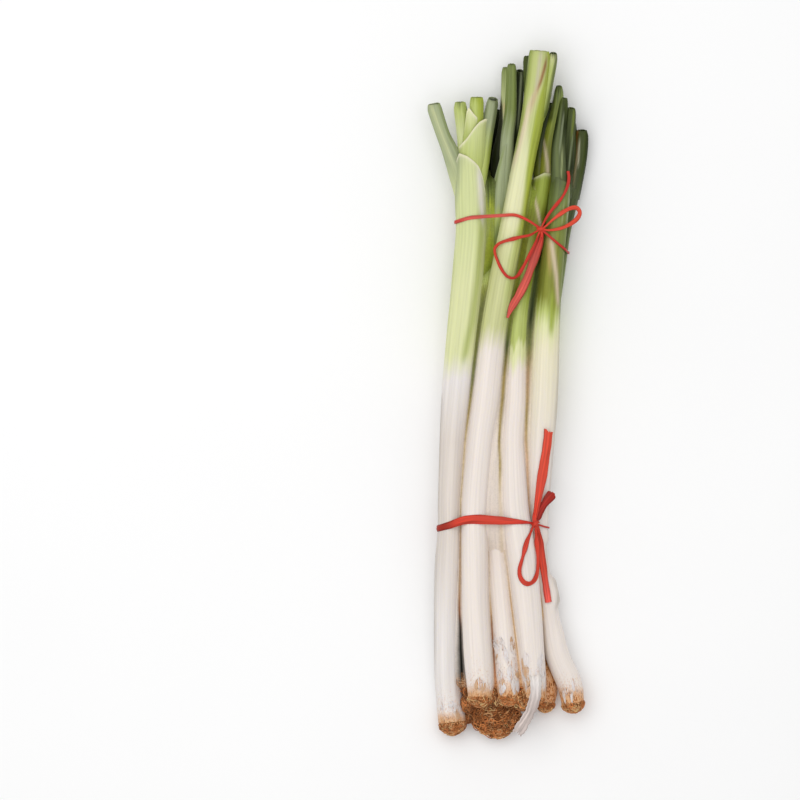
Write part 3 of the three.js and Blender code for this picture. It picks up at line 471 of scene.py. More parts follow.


# The colour of each stalk. "body" names the colour at points along Y, and "soil" says how much
# of it is soiled there. "rim" is the open top of a sheath, as [x, y] points, with a pale edge
# right of "edge_from". "sleeves" are sheaths inside the first one, and "inner" are dark leaves that
# only show between the others, where they carry painted shade. A leaf may be creased, cut at a
# tilt, or tucked in at its start.
COATS = {
    "left": {
        "body": [[-286, "root"], [-285, "tan"], [-282, "peach"], [-275, "cool"], [-200, "cool"],
                 [-120, "ivory"], [-40, "ivory"], [14, "cool"], [36, "pale"], [95, "pale"],
                 [150, "mist"], [205, "mist"]],
        "soil": [[-288, 0.7], [-283, 0.42], [-274, 0.26], [-260, 0.15], [-240, 0.05], [-210, 0]],
        "marks": [
            streak("fresh", 0.6, fade=14,
                   line=[[30, -39, 2.4], [45, -36, 3.6], [65, -31.5, 3.4], [100, -27, 3],
                         [150, -23, 3], [176, -23, 3]]),
            streak("fresh", 0.45, side=-1, fade=50,
                   line=[[50, -53.5, 2.5], [110, -47, 2], [165, -45.5, 2]]),
            streak("skin", 0.8, line=[[150, -22.4, 1.4], [168, -23.4, 3.2], [198, -25.4, 2.8]]),
            streak("grey", 0.75, side=-1, fade=40,
                   line=[[166, -44.4, 3], [190, -42, 4], [217, -39, 4]]),
            # Painted shade: fawn, then near-black, on the right flank where the gap to the tall onion is
            # deep.
            streak("fawn", 0.75, side=1, fade=40, until=-150,
                   line=[[-250, -46.2, 1.4], [-200, -45, 1.4], [-150, -44.2, 1.2]]),
            streak("hollow", 0.95, side=1, fade=16, until=-196,
                   line=[[-242, -44.4, 0.8], [-196, -43.2, 0.6]]),
            # Painted shade: grey down the left edge.
            streak("ash", 0.5, side=-1, fade=60, until=0,
                   line=[[-230, -63, 2], [-178, -63.6, 2.6], [-140, -62.6, 2.6], [-91, -60.6, 1],
                         [0, -57.4, 1]]),
        ],
        "fingers": 5,
        "top": [[-35, 217, 30.2, 11.4]],
        "edge_from": -47,
        "rim": [[-50, 170], [-47, 186], [-45, 206], [-43, 211.5], [-36, 208.7], [-30, 203.8],
                [-26.3, 199.6], [-24.4, 195.3], [-22.6, 190.4], [-21.4, 183], [-20.4, 175]],
        "sleeves": [
            {"stations": [[-34, 148, 29, 11.6], [-33, 175, 28.6, 11.6], [-32, 195, 28.6, 11.4],
                          [-31.4, 215, 30.6, 11.8], [-30.2, 232, 31, 11], [-28, 247, 31, 10]],
             "body": [[160, "lime"], [200, "lime"], [245, "mist"]], "edge_from": -44,
             "rim": [[-45, 205], [-43.4, 214], [-42.4, 217], [-36, 223.8], [-30, 232.9], [-25.1, 239],
                     [-20, 242.5]]},
            {"stations": [[-33, 195, 31.4, 8.6], [-32.4, 215, 31.6, 8.2], [-31.6, 232, 31.8, 7.8],
                          [-31.4, 256, 32, 7]], "body": [[200, "lime"], [228, "lime"], [248, "pale"]],
             "edge_from": -36,
             "rim": [[-40, 222], [-38, 234], [-36.4, 247], [-34.6, 251], [-33, 249], [-30.5, 245.5],
                     [-27, 241.6], [-22.6, 240.5]]},
        ],
        "leaves": [
            {"body": [[172, "mist"], [205, "grey"], [254, "grey"]], "crease": 0.5, "tilt": 1.2,
             "tucked": 1.2, "cut": 0.05,
             # Painted shade: darker green down the leaf's right side.
             "marks": [streak("leaf", 0.55, side=1, fade=12,
                              line=[[222, -51, 2], [236, -55.6, 2], [254, -61.6, 1.5]]),
                       streak("pale", 0.5, line=[[200, -48, 2.5], [254, -68, 1.6]])]},
            {"body": [[180, "lime"], [228, "mist"], [250, "lime"], [258, "leaf"]], "crease": 0.4,
             "tilt": 1, "cut": 0.1,
             "marks": [streak("lime", 0.7, side=1, line=[[200, -36, 2], [256, -40.5, 2]])]},
            {"body": [[182, "pale"], [232, "lime"], [254, "lime"], [262, "fresh"]], "crease": 0.3,
             "tilt": 0.8, "cut": 0.05,
             "marks": [streak("vivid", 0.7, side=1, fade=30, line=[[232, -28, 2], [260, -27.4, 2]])]},
            {"body": [[182, "lime"], [212, "lime"], [238, "grey"], [260, "grey"]], "crease": 0.9,
             "tilt": 3.4,
             "marks": [streak("deep", 0.6, side=1,
                              line=[[205, -18.4, 1.2], [240, -14, 1.2], [260, -11.4, 1]]),
                       streak("fresh", 0.7, line=[[190, -19, 1.6], [225, -15, 1.2]])]},
        ],
    },
    "tall": {
        "body": [[-264, "root"], [-262, "tan"], [-259, "peach"], [-251, "white"], [38, "white"],
                 [60, "dull"], [120, "dull"], [150, "pale"], [175, "pale"], [216, "mist"],
                 [300, "dull"]],
        "soil": [[-264, 0.6], [-259, 0.36], [-250, 0.22], [-234, 0.12], [-205, 0]],
        "marks": [
            streak("cream", 0.36, side=1, fade=45, lift=0.25,
                   line=[[140, -6, 2.4], [174.4, -1.6, 2], [191.8, 1.3, 1.8], [213.6, 6.5, 1.6],
                         [231.9, 10.9, 1], [253, 16.6, 1], [265.8, 22.6, 1], [280.6, 30.6, 1],
                         [294, 34.4, 1]]),
            streak("lime", 0.7, side=1, fade=60,
                   line=[[70, -5.4, 3], [95, -2.4, 3], [120, 1.6, 3], [140, 6.6, 3], [158, 11.4, 2.6],
                         [177, 13.4, 2.4], [192, 14.6, 2.2], [209, 17, 2]]),
            streak("vivid", 0.85, side=1, fade=40,
                   line=[[140, 9.6, 2.6], [158, 13, 2.2], [177, 14.8, 2], [192, 15.6, 1.8],
                         [209, 17.4, 1.6], [226, 20, 1.6], [243, 23, 1.6], [259.5, 26.8, 1.4],
                         [270, 30, 1.2], [288, 34, 1]]),
            streak("spring", 0.6, fade=40,
                   line=[[130, 7.4, 3], [148, 12, 3], [176, 16.8, 2.8], [191, 18.8, 2.6],
                         [205, 20.2, 2.4]]),
            streak("rose", 0.7,
                   line=[[200, 4.6, 2.4], [232, 12.6, 3.4], [252, 18.6, 3.2], [266, 24, 2]]),
            streak("straw", 0.7, fade=14,
                   line=[[250, 19.6, 2.2], [262, 23.4, 2.2], [276, 28, 1.6], [290, 32, 1.4]]),
            streak("brown", 0.85, fade=12,
                   line=[[266, 25.4, 1], [274, 28.2, 1.3], [284, 31.2, 1.2], [293, 33, 1]]),
            streak("fresh", 0.75, side=-1, fade=25,
                   line=[[190, -2, 1.4], [215, 7.6, 1.4], [240, 13.6, 1.5], [270, 18.2, 1.6],
                         [300, 20.6, 1.6]]),
            # A painted highlight: the pale band near the top.
            streak("milk", 0.5, fade=14, line=[[268, 24, 1.6], [300, 28.6, 2.4]]),
            # Painted shade: grey-green down the left side near the top.
            streak("leaf", 0.7, side=-1, fade=20,
                   line=[[256, 12.4, 1.6], [276, 16.6, 1.8], [300, 20, 1.8]]),
            streak("olive", 0.2, side=1, fade=60,
                   line=[[120, 8, 1.5], [168, 15, 1.2], [209, 22, 1.2], [240, 28.4, 1.2],
                         [268, 32.4, 1]]),
        ],
        "tilt": 0.6, "cut": 0.1,
        "leaves": [
            {"body": [[228, "fresh"], [266, "lime"], [284, "lime"], [294, "dull"], [299, "deep"]],
             "crease": 0.3, "tilt": 2, "tucked": 4.5,
             "marks": [streak("deep", 0.8, side=1, fade=10,
                              line=[[240, 30, 1.2], [270, 36, 1.2], [299, 41.6, 1]])]},
            {"body": [[228, "leaf"], [262, "deep"], [296, "deep"]], "crease": 0.2, "tilt": 1},
        ],
    },
    "middle": {
        "body": [[-264, "root"], [-262, "tan"], [-258, "peach"], [-248, "white"], [50, "white"],
                 [68, "lime"], [84, "olive"], [122, "olive"], [138, "leaf"], [154, "lime"],
                 [166, "grey"], [220, "grey"]],
        "soil": [[-264, 0.7], [-256, 0.38], [-240, 0.2], [-222, 0.13], [-208, 0.04], [-190, 0]],
        "top": [[-4.6, 212, 18.4, 7.8], [-2.8, 230, 19, 7]],
        "edged": 0,
        "rim": [[-19, 167], [-17, 171], [-11, 194], [-5, 217], [0, 221], [6, 222]],
        "marks": [
            # Painted shade: dark green, and near-black above y 190, down the left side where the gap is
            # deep.
            streak("deep", 0.85, side=-1, fade=26,
                   line=[[136, -21, 2], [160, -18, 1.6], [171, -16.8, 1.2], [218, -5, 1]]),
            streak("hollow", 0.92, side=-1, fade=14, line=[[190, -12.4, 1.4], [218, -5, 1]]),
            streak("leaf", 0.7, fade=20,
                   line=[[150, -16.6, 1.6], [172, -14.4, 1.4], [195, -9, 1.3], [216, -3.8, 0.9]]),
            streak("fresh", 0.7, side=-1, fade=30, until=150,
                   line=[[60, -17, 2], [100, -16, 2], [140, -15, 2]]),
            streak("cream", 0.55, line=[[96, -4, 1.2], [128, -1.6, 1.6], [150, -1, 1]]),
        ],
        "leaves": [
            {"body": [[172, "grey"], [205, "leaf"], [240, "mist"], [286, "leaf"]], "crease": 0.5,
             "tilt": 0.8,
             # Painted shade: near-black down the leaf's left side, graded by a dark green line beside it.
             "marks": [streak("hollow", 0.95, side=-1, fade=8,
                              line=[[168, -14, 1.2], [179, -11.6, 1.1], [205, -6.4, 1],
                                    [213, -4.8, 0.8], [238, -4.4, 0.8], [252, -5.4, 0.8],
                                    [266, -7.4, 0.8]]),
                       streak("deep", 0.8, fade=10,
                              line=[[176, -11, 1.2], [205, -4.6, 1.3], [222, -3.4, 0.8]]),
                       streak("tan", 0.55, fade=6, line=[[236, -1.4, 1.6], [254, -3.4, 1.8]])]},
            {"body": [[172, "grey"], [222, "grey"], [250, "leaf"], [289, "leaf"]], "crease": 0.6,
             "tilt": 1},
            {"body": [[172, "deep"], [222, "dark"], [284, "dark"]], "crease": 0.9, "tilt": 2.4,
             "marks": [streak("grey", 0.5, line=[[230, 8.2, 0.9], [284, 11.6, 1]])]},
        ],
    },
    "front": {
        "body": [[-265, "root"], [-263, "tan"], [-259, "peach"], [-251, "white"], [20, "white"],
                 [34, "pale"], [42, "pale"], [48, "lime"], [66, "lime"], [90, "fresh"], [134, "olive"],
                 [156, "olive"], [172, "fresh"], [194, "fresh"]],
        "soil": [[-264, 0.7], [-256, 0.36], [-242, 0.16], [-222, 0.06], [-205, 0]],
        "marks": [
            streak("rose", 0.85, fade=10, lift=0.3,
                   line=[[146, 28.2, 0.9], [158, 26, 1.3], [172, 22.6, 1.3], [180, 22, 1.2]]),
            streak("lime", 0.6, line=[[60, 6, 2], [110, 14, 2.4], [140, 19, 2]]),
        ],
        "edged": 0.55,
        "rim": [[17, 184], [20.6, 187.4], [27, 191.4], [34, 195.4], [44, 196]],
        "leaves": [
            {"body": [[176, "olive"], [215, "olive"], [241, "fresh"], [262, "leaf"], [270, "deep"]],
             "crease": 0.5, "tilt": 1,
             "marks": [streak("rose", 0.8, fade=7,
                              line=[[192, 34.6, 1.6], [204, 33.6, 1.6], [214, 31.8, 1.4],
                                    [226, 29.8, 0.9]]),
                       streak("dark", 0.7, side=-1, fade=8,
                              line=[[238, 38.4, 0.9], [270, 42.4, 0.9]])]},
            {"body": [[176, "olive"], [213, "deep"], [255, "dark"]], "crease": 0.5, "tilt": 1.5},
        ],
        # Dark leaves that fill the gaps with painted shade.
        "inner": [
            {"stations": [[29, 186, 11, 5.5], [30.4, 215, 11, 4.6], [32.4, 240, 11.4, 3.6],
                          [34.6, 251, 12, 2.4]], "body": [[186, "dark"], [251, "hollow"]]},
            {"stations": [[45, 190, 12, 5], [48.6, 222, 13, 4.4], [50.6, 243, 14, 3.2]],
             "body": [[190, "dark"], [243, "dark"]]},
        ],
    },
    "right": {
        "body": [[-268, "root"], [-266, "tan"], [-262, "peach"], [-253, "white"], [-60, "white"],
                 [40, "cream"], [62, "pale"], [74, "lime"], [86, "olive"], [132, "olive"],
                 [166, "leaf"], [192, "pine"]],
        "soil": [[-268, 0.8], [-261, 0.5], [-252, 0.24], [-238, 0.1], [-215, 0]],
        "marks": [
            swell(-2.4, side=1, fade=5, until=-128, line=[[-157.5, 33, 3], [-128, 29, 3]]),
            swell(1.0, side=1, fade=10, until=-159, line=[[-180, 40.8, 2], [-159, 36.8, 2]]),
            streak("ash", 0.6, fade=16, line=[[-184, 43, 1.8], [-170, 42.8, 1.8], [-160, 39.4, 2]]),
            swell(-2.0, side=1, fade=20, until=-182, line=[[-200, 41, 3], [-182, 40, 3]]),
            # Painted shade: grey down the right edge.
            streak("ash", 0.45, side=1, fade=40, until=84,
                   line=[[-150, 34, 2], [-91, 34.4, 1.8], [-39, 38.8, 1.4], [20, 42.6, 1.2],
                         [84, 44.6, 1]]),
            streak("fresh", 0.85, fade=14, line=[[54, 37, 2.2], [90, 38, 2.6]]),
            # Painted shade: dark green down the left side, in the gap beside it.
            streak("deep", 0.6, side=-1, fade=30, line=[[84, 29, 2.5], [130, 34, 3], [190, 42, 3]]),
            streak("rose", 0.85, fade=12, lift=0.35,
                   line=[[78, 43.4, 1.6], [104, 41.6, 2.1], [136, 37, 2.4]]),
            streak("tan", 0.45, line=[[108, 36, 1.6], [140, 34, 2]]),
            streak("grey", 0.7, fade=16, line=[[150, 50.6, 0.8], [178, 53.6, 0.8]]),
            streak("mist", 0.4, fade=14, line=[[146, 46, 0.7], [170, 48.6, 0.7]]),
            streak("leaf", 0.7, side=1, fade=20, until=150,
                   line=[[70, 43.8, 1.2], [130, 44, 1.4], [190, 50, 2]]),
        ],
        "leaves": [
            {"body": [[172, "pine"], [206, "pine"], [238, "dark"], [259, "deep"]], "crease": 0.5,
             "tilt": 1,
             "marks": [streak("leaf", 0.6, fade=30,
                              line=[[180, 42.4, 1.6], [216, 42, 1.5], [250, 46, 1]]),
                       streak("grey", 0.6, fade=12, line=[[212, 44.4, 0.7], [244, 48, 0.6]]),
                       streak("mist", 0.4, fade=14, line=[[190, 46, 0.6], [214, 47, 0.6]]),
                       streak("dark", 0.7, side=-1,
                              line=[[190, 38, 1.2], [214, 38.4, 1.2], [244, 43, 1]])]},
            {"body": [[172, "deep"], [200, "dark"], [240, "deep"], [251, "deep"]], "crease": 0.7,
             "tilt": 1.6,
             "marks": [streak("fresh", 0.4, line=[[225, 54.8, 0.8], [250, 57.4, 1]]),
                       streak("grey", 0.5, fade=12, line=[[196, 52.4, 0.6], [226, 55.8, 0.6]])]},
        ],
    },
    "under_left": {
        "body": [[-266, "tan"], [-252, "cream"], [-236, "white"], [50, "white"], [84, "olive"],
                 [124, "deep"], [192, "dark"]],
        "leaves": [
            # Its leaves are painted near-black: painted shade in the gap between the leaves above.
            {"body": [[176, "dark"], [208, "hollow"], [249, "dark"]], "crease": 0.6, "tilt": 1.5},
            {"body": [[176, "dark"], [208, "hollow"], [246, "hollow"]], "crease": 0.6, "tilt": 1.5},
        ],
    },
    "under_right": {
        "body": [[-267, "brown"], [-256, "tan"], [-226, "tan"], [-205, "beige"], [-190, "white"],
                 [-60, "cream"], [44, "pale"], [64, "lime"], [96, "leaf"], [134, "deep"], [186, "pine"]],
        "soil": [[-268, 0.8], [-222, 0.7], [-206, 0.45], [-192, 0.1], [-184, 0]],
        "marks": [
            streak("leaf", 0.6, line=[[100, 47, 1.5], [148, 55, 2]]),
            # Painted shade: khaki where the shank shows in the gap between the front and right onions.
            streak("khaki", 0.85, line=[[-130, 14, 3], [-39, 18, 4], [44, 21, 4]]),
        ],
        "leaves": [
            {"body": [[172, "pine"], [196, "deep"], [231, "deep"]], "crease": 0.6, "tilt": 1.2,
             "marks": [streak("brown", 0.85, fade=8, line=[[205, 57.6, 1], [232, 59.4, 1.4]]),
                       streak("straw", 0.65, fade=20, line=[[184, 56.4, 0.8], [214, 60.2, 1]]),
                       streak("cream", 0.6, fade=10, line=[[200, 60.6, 0.7], [222, 61.6, 0.7]]),
                       streak("dark", 0.7, side=1,
                              line=[[172, 61, 1.6], [200, 65.8, 1.2], [231, 67.6, 1]])]},
            {"body": [[172, "dark"], [213, "deep"], [241, "dark"]], "crease": 0.8, "tilt": 2},
        ],
    },
}

# Torn flakes of outer skin that still cling to a stalk. "along" and "turn" are where they
# start, in mm from the root end and in degrees from the top, and "long" and "wide" their sizes.
SKINS = [
    {"onion": "middle", "count": 26, "along": [-1, 46], "turn": [-75, 45], "long": [5, 15],
     "wide": [14, 40], "soil": 0.45, "shades": ["skin", "white", "skin", "white", "peach"],
     "seed": 1010},
    {"onion": "front", "count": 22, "along": [-1, 40], "turn": [-80, 50], "long": [6, 20],
     "wide": [12, 36], "soil": 0.4, "shades": ["skin", "white", "skin", "white", "peach"],
     "seed": 2030},
    {"onion": "middle", "count": 5, "along": [34, 40], "turn": [-72, -54], "long": [8, 12],
     "stand": 2.2, "wide": [20, 34], "soil": 0, "shades": ["skin", "white"], "seed": 3050},
    {"onion": "tall", "count": 5, "along": [-1, 10], "turn": [-60, 60], "long": [5, 12],
     "wide": [12, 30], "soil": 0.6, "shades": ["skin", "peach", "white"], "seed": 3550},
    {"onion": "left", "count": 6, "along": [-1, 16], "turn": [-60, 60], "long": [5, 14],
     "wide": [12, 30], "soil": 0.5, "shades": ["cool", "skin", "peach"], "seed": 4070},
    {"onion": "right", "count": 5, "along": [0, 16], "turn": [-60, 60], "long": [6, 16],
     "wide": [12, 30], "soil": 0.6, "shades": ["white", "skin"], "seed": 5090},
]

# Sheets between neighbouring shanks, drawn as dry outer leaves, that close the gaps and carry the
# shade painted in them. "rise" is how high up the shanks they touch, in degrees, and "dips" over how
# many mm each end dips out of sight. "seam" is the colour down the middle: painted shade where it
# is dark, and elsewhere the green or soil that shows in the gap, as [y, colour, width, place], in
# shares of the way across.
LININGS = [
    # Between the left and tall onions, the near-black soil and hollow rows from y -250 to -200 are painted
    # shade in the deep gap.
    {"between": ["left", "tall"], "rise": 18, "dips": [12, 20],
     "seam": [[-262, "brown", 0.9, 0.5], [-250, "soil", 0.7, 0.5], [-244, "hollow", 0.45, 0.6],
              [-215, "hollow", 0.34, 0.6], [-200, "soil", 0.28, 0.6], [-186, "brown", 0.24, 0.5],
              [-165, "fawn", 0.3, 0.5], [-118, "fawn", 0.35, 0.5], [-100, "straw", 0.25, 0.5],
              [-44, "straw", 0.3, 0.5], [-21, "khaki", 0.35, 0.5], [14, "moss", 0.5, 0.5],
              [48, "moss", 0.8, 0.5], [80, "moss", 0.9, 0.5], [92, "olive", 0.95, 0.5],
              [102, "lime", 0.95, 0.5], [116, "lime", 0.95, 0.5]],
     "soil": [[-258, 0.5], [-248, 0.4], [-240, 0.1], [-232, 0]]},
    {"between": ["tall", "middle"], "rise": 20, "dips": [10, 14],
     "seam": [[-262, "brown", 0.8, 0.5], [-250, "root", 0.4, 0.5], [-230, "brown", 0.3, 0.5],
              [-204, "brown", 0.3, 0.5], [-190, "tan", 0.25, 0.5], [-170, "rose", 0.2, 0.5],
              [-105, "rose", 0.2, 0.5]], "soil": [[-262, 0.6], [-250, 0.3], [-240, 0]]},
    {"between": ["middle", "front"], "rise": 24, "dips": [10, 20],
     "seam": [[-262, "brown", 0.8, 0.5], [-252, "tan", 0.6, 0.5], [-238, "peach", 0.4, 0.5],
              [-220, "tan", 0.24, 0.5], [-178, "tan", 0.2, 0.5], [-150, "rose", 0.2, 0.5],
              [-116, "rose", 0.2, 0.5]], "soil": [[-262, 0.6], [-250, 0.45], [-236, 0.2], [-222, 0]]},
    {"between": ["tall", "front"], "rise": 30, "dips": [34, 12],
     "seam": [[-146, "rose", 0.1, 0.7], [-104, "rose", 0.1, 0.78], [-86, "rose", 0.1, 0.75],
              [-74, "straw", 0.1, 0.73], [-56, "khaki", 0.11, 0.68], [-21, "khaki", 0.18, 0.45],
              [14, "khaki", 0.3, 0.35], [44, "deep", 0.5, 0.45], [80, "olive", 0.7, 0.5],
              [150, "olive", 0.9, 0.5], [168, "fresh", 0.95, 0.5], [188, "fresh", 0.95, 0.5]]},
    {"between": ["left", "middle"], "rise": 36, "dips": [30, 10],
     "seam": [[20, "moss", 0.95, 0.5], [80, "moss", 0.95, 0.5], [96, "olive", 0.95, 0.5],
              [106, "fresh", 0.95, 0.5], [116, "spring", 0.95, 0.5], [132, "spring", 0.95, 0.5],
              [148, "lime", 0.95, 0.6], [160, "spring", 0.95, 0.7], [172, "leaf", 0.95, 0.6],
              [184, "deep", 0.95, 0.5], [196, "deep", 0.95, 0.5]]},
    {"between": ["front", "right"], "rise": 22, "dips": [24, 20],
     "seam": [[-214, "tan", 0.4, 0.5], [-150, "tan", 0.3, 0.5], [-100, "peach", 0.4, 0.4],
              [-56, "peach", 0.4, 0.4], [-20, "khaki", 0.3, 0.35], [14, "fawn", 0.4, 0.4],
              [40, "moss", 0.6, 0.45], [66, "dark", 0.7, 0.4], [130, "deep", 0.9, 0.5]],
     "soil": [[-214, 0.5], [-196, 0.2], [-180, 0]]},
]

# Small mats of roots that fill the gaps between the root ends.
ROOT_MATS = [
    {"onion": "tall", "centre": [-37, -254, 18], "halves": [5, 9, 8], "count": 90},
    {"onion": "tall", "centre": [-35.6, -268, 21], "halves": [6.5, 9, 9], "count": 120},
    {"onion": "tall", "centre": [-35.4, -280, 10], "halves": [5, 6, 7], "count": 60},
    {"onion": "middle", "centre": [-12.5, -262, 29], "halves": [5.5, 9, 7], "count": 90},
    {"onion": "middle", "centre": [12, -264, 29.4], "halves": [9, 11, 7], "count": 150},
]


def linear(colour):
    """The linear red, green and blue that a screen colour such as #e6e3de stands for."""
    shown = np.array([int(colour[i : i + 2], 16) / 255 for i in (1, 3, 5)])
    return np.where(shown <= 0.04045, shown / 12.92, ((shown + 0.055) / 1.055) ** 2.4)


COLOURS = {name: linear(colour) for name, colour in PALETTE.items()}


def eased(value, low, high):
    """0 below low, 1 above high, and a smooth rise between them."""
    share = np.clip((np.asarray(value, float) - low) / (high - low), 0, 1)
    return share * share * (3 - 2 * share)


def read(rows, place, column=1):
    """What a table says at a place, between the places that its rows start with."""
    table = np.asarray(rows, float)
    return np.interp(place, table[:, 0], table[:, column])


def unit(vectors):
    """Vectors of the same directions, all of length 1."""
    return vectors / np.linalg.norm(vectors, axis=-1, keepdims=True)


def reached(points):
    """How far along a line each of its points lies."""
    return np.concatenate([[0], np.cumsum(np.linalg.norm(np.diff(points, axis=0), axis=1))])


def closed(rows):
    """Rows that come back to the first one."""
    return np.concatenate([rows, rows[:1]])


def two_sided(under, over):
    """Rows that run back along an under side and on along the side over it."""
    return np.concatenate([under[:, ::-1], over], axis=1)


def smooth(stations, place):
    """A smooth curve through stations at a place counted in stations, and its slope there."""
    before, after = 2 * stations[0] - stations[1], 2 * stations[-1] - stations[-2]
    ends = np.vstack([before, stations, after])
    first = np.minimum(np.asarray(place).astype(int), len(stations) - 2)
    t = (place - first)[..., None]
    a, b, c, d = (ends[first + k] for k in range(4))
    leave, arrive = (c - a) / 2, (d - b) / 2
    value = (
        (2 * t**3 - 3 * t**2 + 1) * b
        + (t**3 - 2 * t**2 + t) * leave
        + (3 * t**2 - 2 * t**3) * c
        + (t**3 - t**2) * arrive
    )
    slope = (
        (6 * t**2 - 6 * t) * b
        + (3 * t**2 - 4 * t + 1) * leave
        + (6 * t - 6 * t**2) * c
        + (3 * t**2 - 2 * t) * arrive
    )
    return value, slope


def course(stations):
    """The run of a tube or strip through its stations, and its length in mm. The run gives the
    middle, the way on, the level side, the way up and the sizes at any lengths."""
    stations = np.array(stations, float)
    fine = np.linspace(0, len(stations) - 1, COURSE_STEPS * len(stations))
    lengths = reached(smooth(stations[:, :3], fine)[0])

    def run(length):
        place = np.interp(length, lengths, fine)
        middle, slope = smooth(stations[:, :3], place)
        sizes, _ = smooth(stations[:, 3:], place)
        on = unit(slope)
        side = unit(np.cross(on, UP))
        return middle, on, side, np.cross(side, on), sizes

    return run, lengths[-1]


def on_tube(run, length, angle, proud):
    """Points round a tube at grids of lengths and angles. What would lie below the surface is
    pressed flat on it."""
    middle, _, side, up, sizes = run(length)
    wide = np.maximum(sizes[..., 0] + proud, THINNEST) * np.cos(angle)
    high = -np.maximum(sizes[..., -1] + proud, THINNEST) * np.sin(angle)
    points = middle + side * wide[..., None] + up * high[..., None]
    points[..., 2] = np.maximum(points[..., 2], 0)
    return points


def ripple(seed, angle, length, reach=60):
    """A repeatable wavy value of about -1 to 1, round a tube and slowly changing along it."""
    random = np.random.default_rng(seed)
    total = 0
    for count in (1, 2, 3, 5, 8, 13, 21):
        turn, sway, offset = random.uniform(0, 2 * np.pi, 3)
        bend = 1.3 * np.sin(length / (reach * random.uniform(0.6, 1.6)) + sway)
        total = total + np.cos(count * angle + turn + bend) * np.cos(length / (2.2 * reach) + offset)
    return total / 2.6


def along_body(body, y):
    """The colour of a stalk's body at y."""
    places = [place for place, _ in body]
    named = np.array([COLOURS[name] for _, name in body])
    return np.stack([np.interp(y, places, named[:, k]) for k in range(3)], axis=-1)


def mixed(colour, name, share):
    """Colours with a share of a named one laid over them."""
    share = share[..., None]
    return colour * (1 - share) + COLOURS[name] * share


def mark_share(mark, points):
    """How much of each point a mark covers, from 0 to 1."""
    line = mark["line"]
    x, y = points[..., 0], points[..., 1]
    off, width = x - read(line, y), read(line, y, 2)
    fade = mark["fade"] / 2
    ends = eased(y, line[0, 0] - fade, line[0, 0] + fade)
    if mark["side"] == 0:
        ends = ends * (1 - eased(y, line[-1, 0] - fade, line[-1, 0] + fade))
        return ends * np.exp(-((off / width) ** 2))
    if mark["until"] is not None:
        fade = min(fade, SHORT_FADE)
        ends = ends * (1 - eased(y, mark["until"] - fade, mark["until"] + fade))
    return ends * eased(mark["side"] * off / width, -1, 1)


def painted(points, angle, length, coat, seed):
    """The colour of each point of a stalk with how clean it is, and how far its marks make it
    stand proud."""
    waves = ripple(seed, angle, length) + 0.35 * ripple(seed + 1, 3 * angle, length, 30)
    ragged = coat.get("fingers", FINGERS) * (0.25 + 0.75 * eased(length, 15, 80)) * waves
    colour = along_body(coat["body"], points[..., 1] + ragged)
    soil = read(coat.get("soil", [[0, 0]]), points[..., 1] + ragged)
    proud = np.zeros(angle.shape)
    for mark in coat.get("marks", []):
        share = mark_share(mark, points)
        proud += mark["lift"] * share
        colour = mixed(colour, mark["colour"], mark["strength"] * share)
    colour = colour * (1 + TONE_SPREAD * ripple(seed + 2, 2 * angle, length, 45)[..., None])
    return np.concatenate([colour, 1 - soil[..., None]], axis=-1), proud


def shank_circle(onion, y):
    """The circle that a shank shows in a section at y, as [x, z, radius]."""
    stations = np.array(onion["shank"], float)
    return [np.interp(y, stations[:, 1], stations[:, k]) for k in (0, 2, 3)]


def pressed(points, own):
    """What light a stalk keeps where it lies against its neighbours, as red, green and blue: painted
    shade.
    """
    x, y, z = (points[..., k] for k in range(3))
    near = np.zeros(x.shape)
    for onion in ONIONS:
        if onion["name"] == own:
            continue
        across, height, radius = shank_circle(onion, y)
        gap = np.hypot(x - across, z - height) - radius
        inside = (y > onion["shank"][0][1]) & (y < onion["shank"][-1][1])
        near = np.maximum(near, inside * (1 - eased(gap, *GAP_SHADE_REACH)))
    kept = np.stack([read(GAP_SHADE, y, k) for k in (1, 2, 3)], axis=-1)
    return 1 - near[..., None] * (1 - kept)


def rim_lengths(run, reach, angle, rim, tries=8):
    """How far each column of a sheath runs before its open rim."""
    lengths = np.linspace(0, reach, 400)
    heights = run(lengths)[0][:, 1]
    middle = np.array(rim, float)[:, 1].mean()
    end = np.full(angle.shape, float(np.interp(middle, heights, lengths)))
    for _ in range(tries):
        x = on_tube(run, end, angle, 0)[..., 0]
        end = (end + np.interp(read(rim, x), heights, lengths)) / 2
    return end


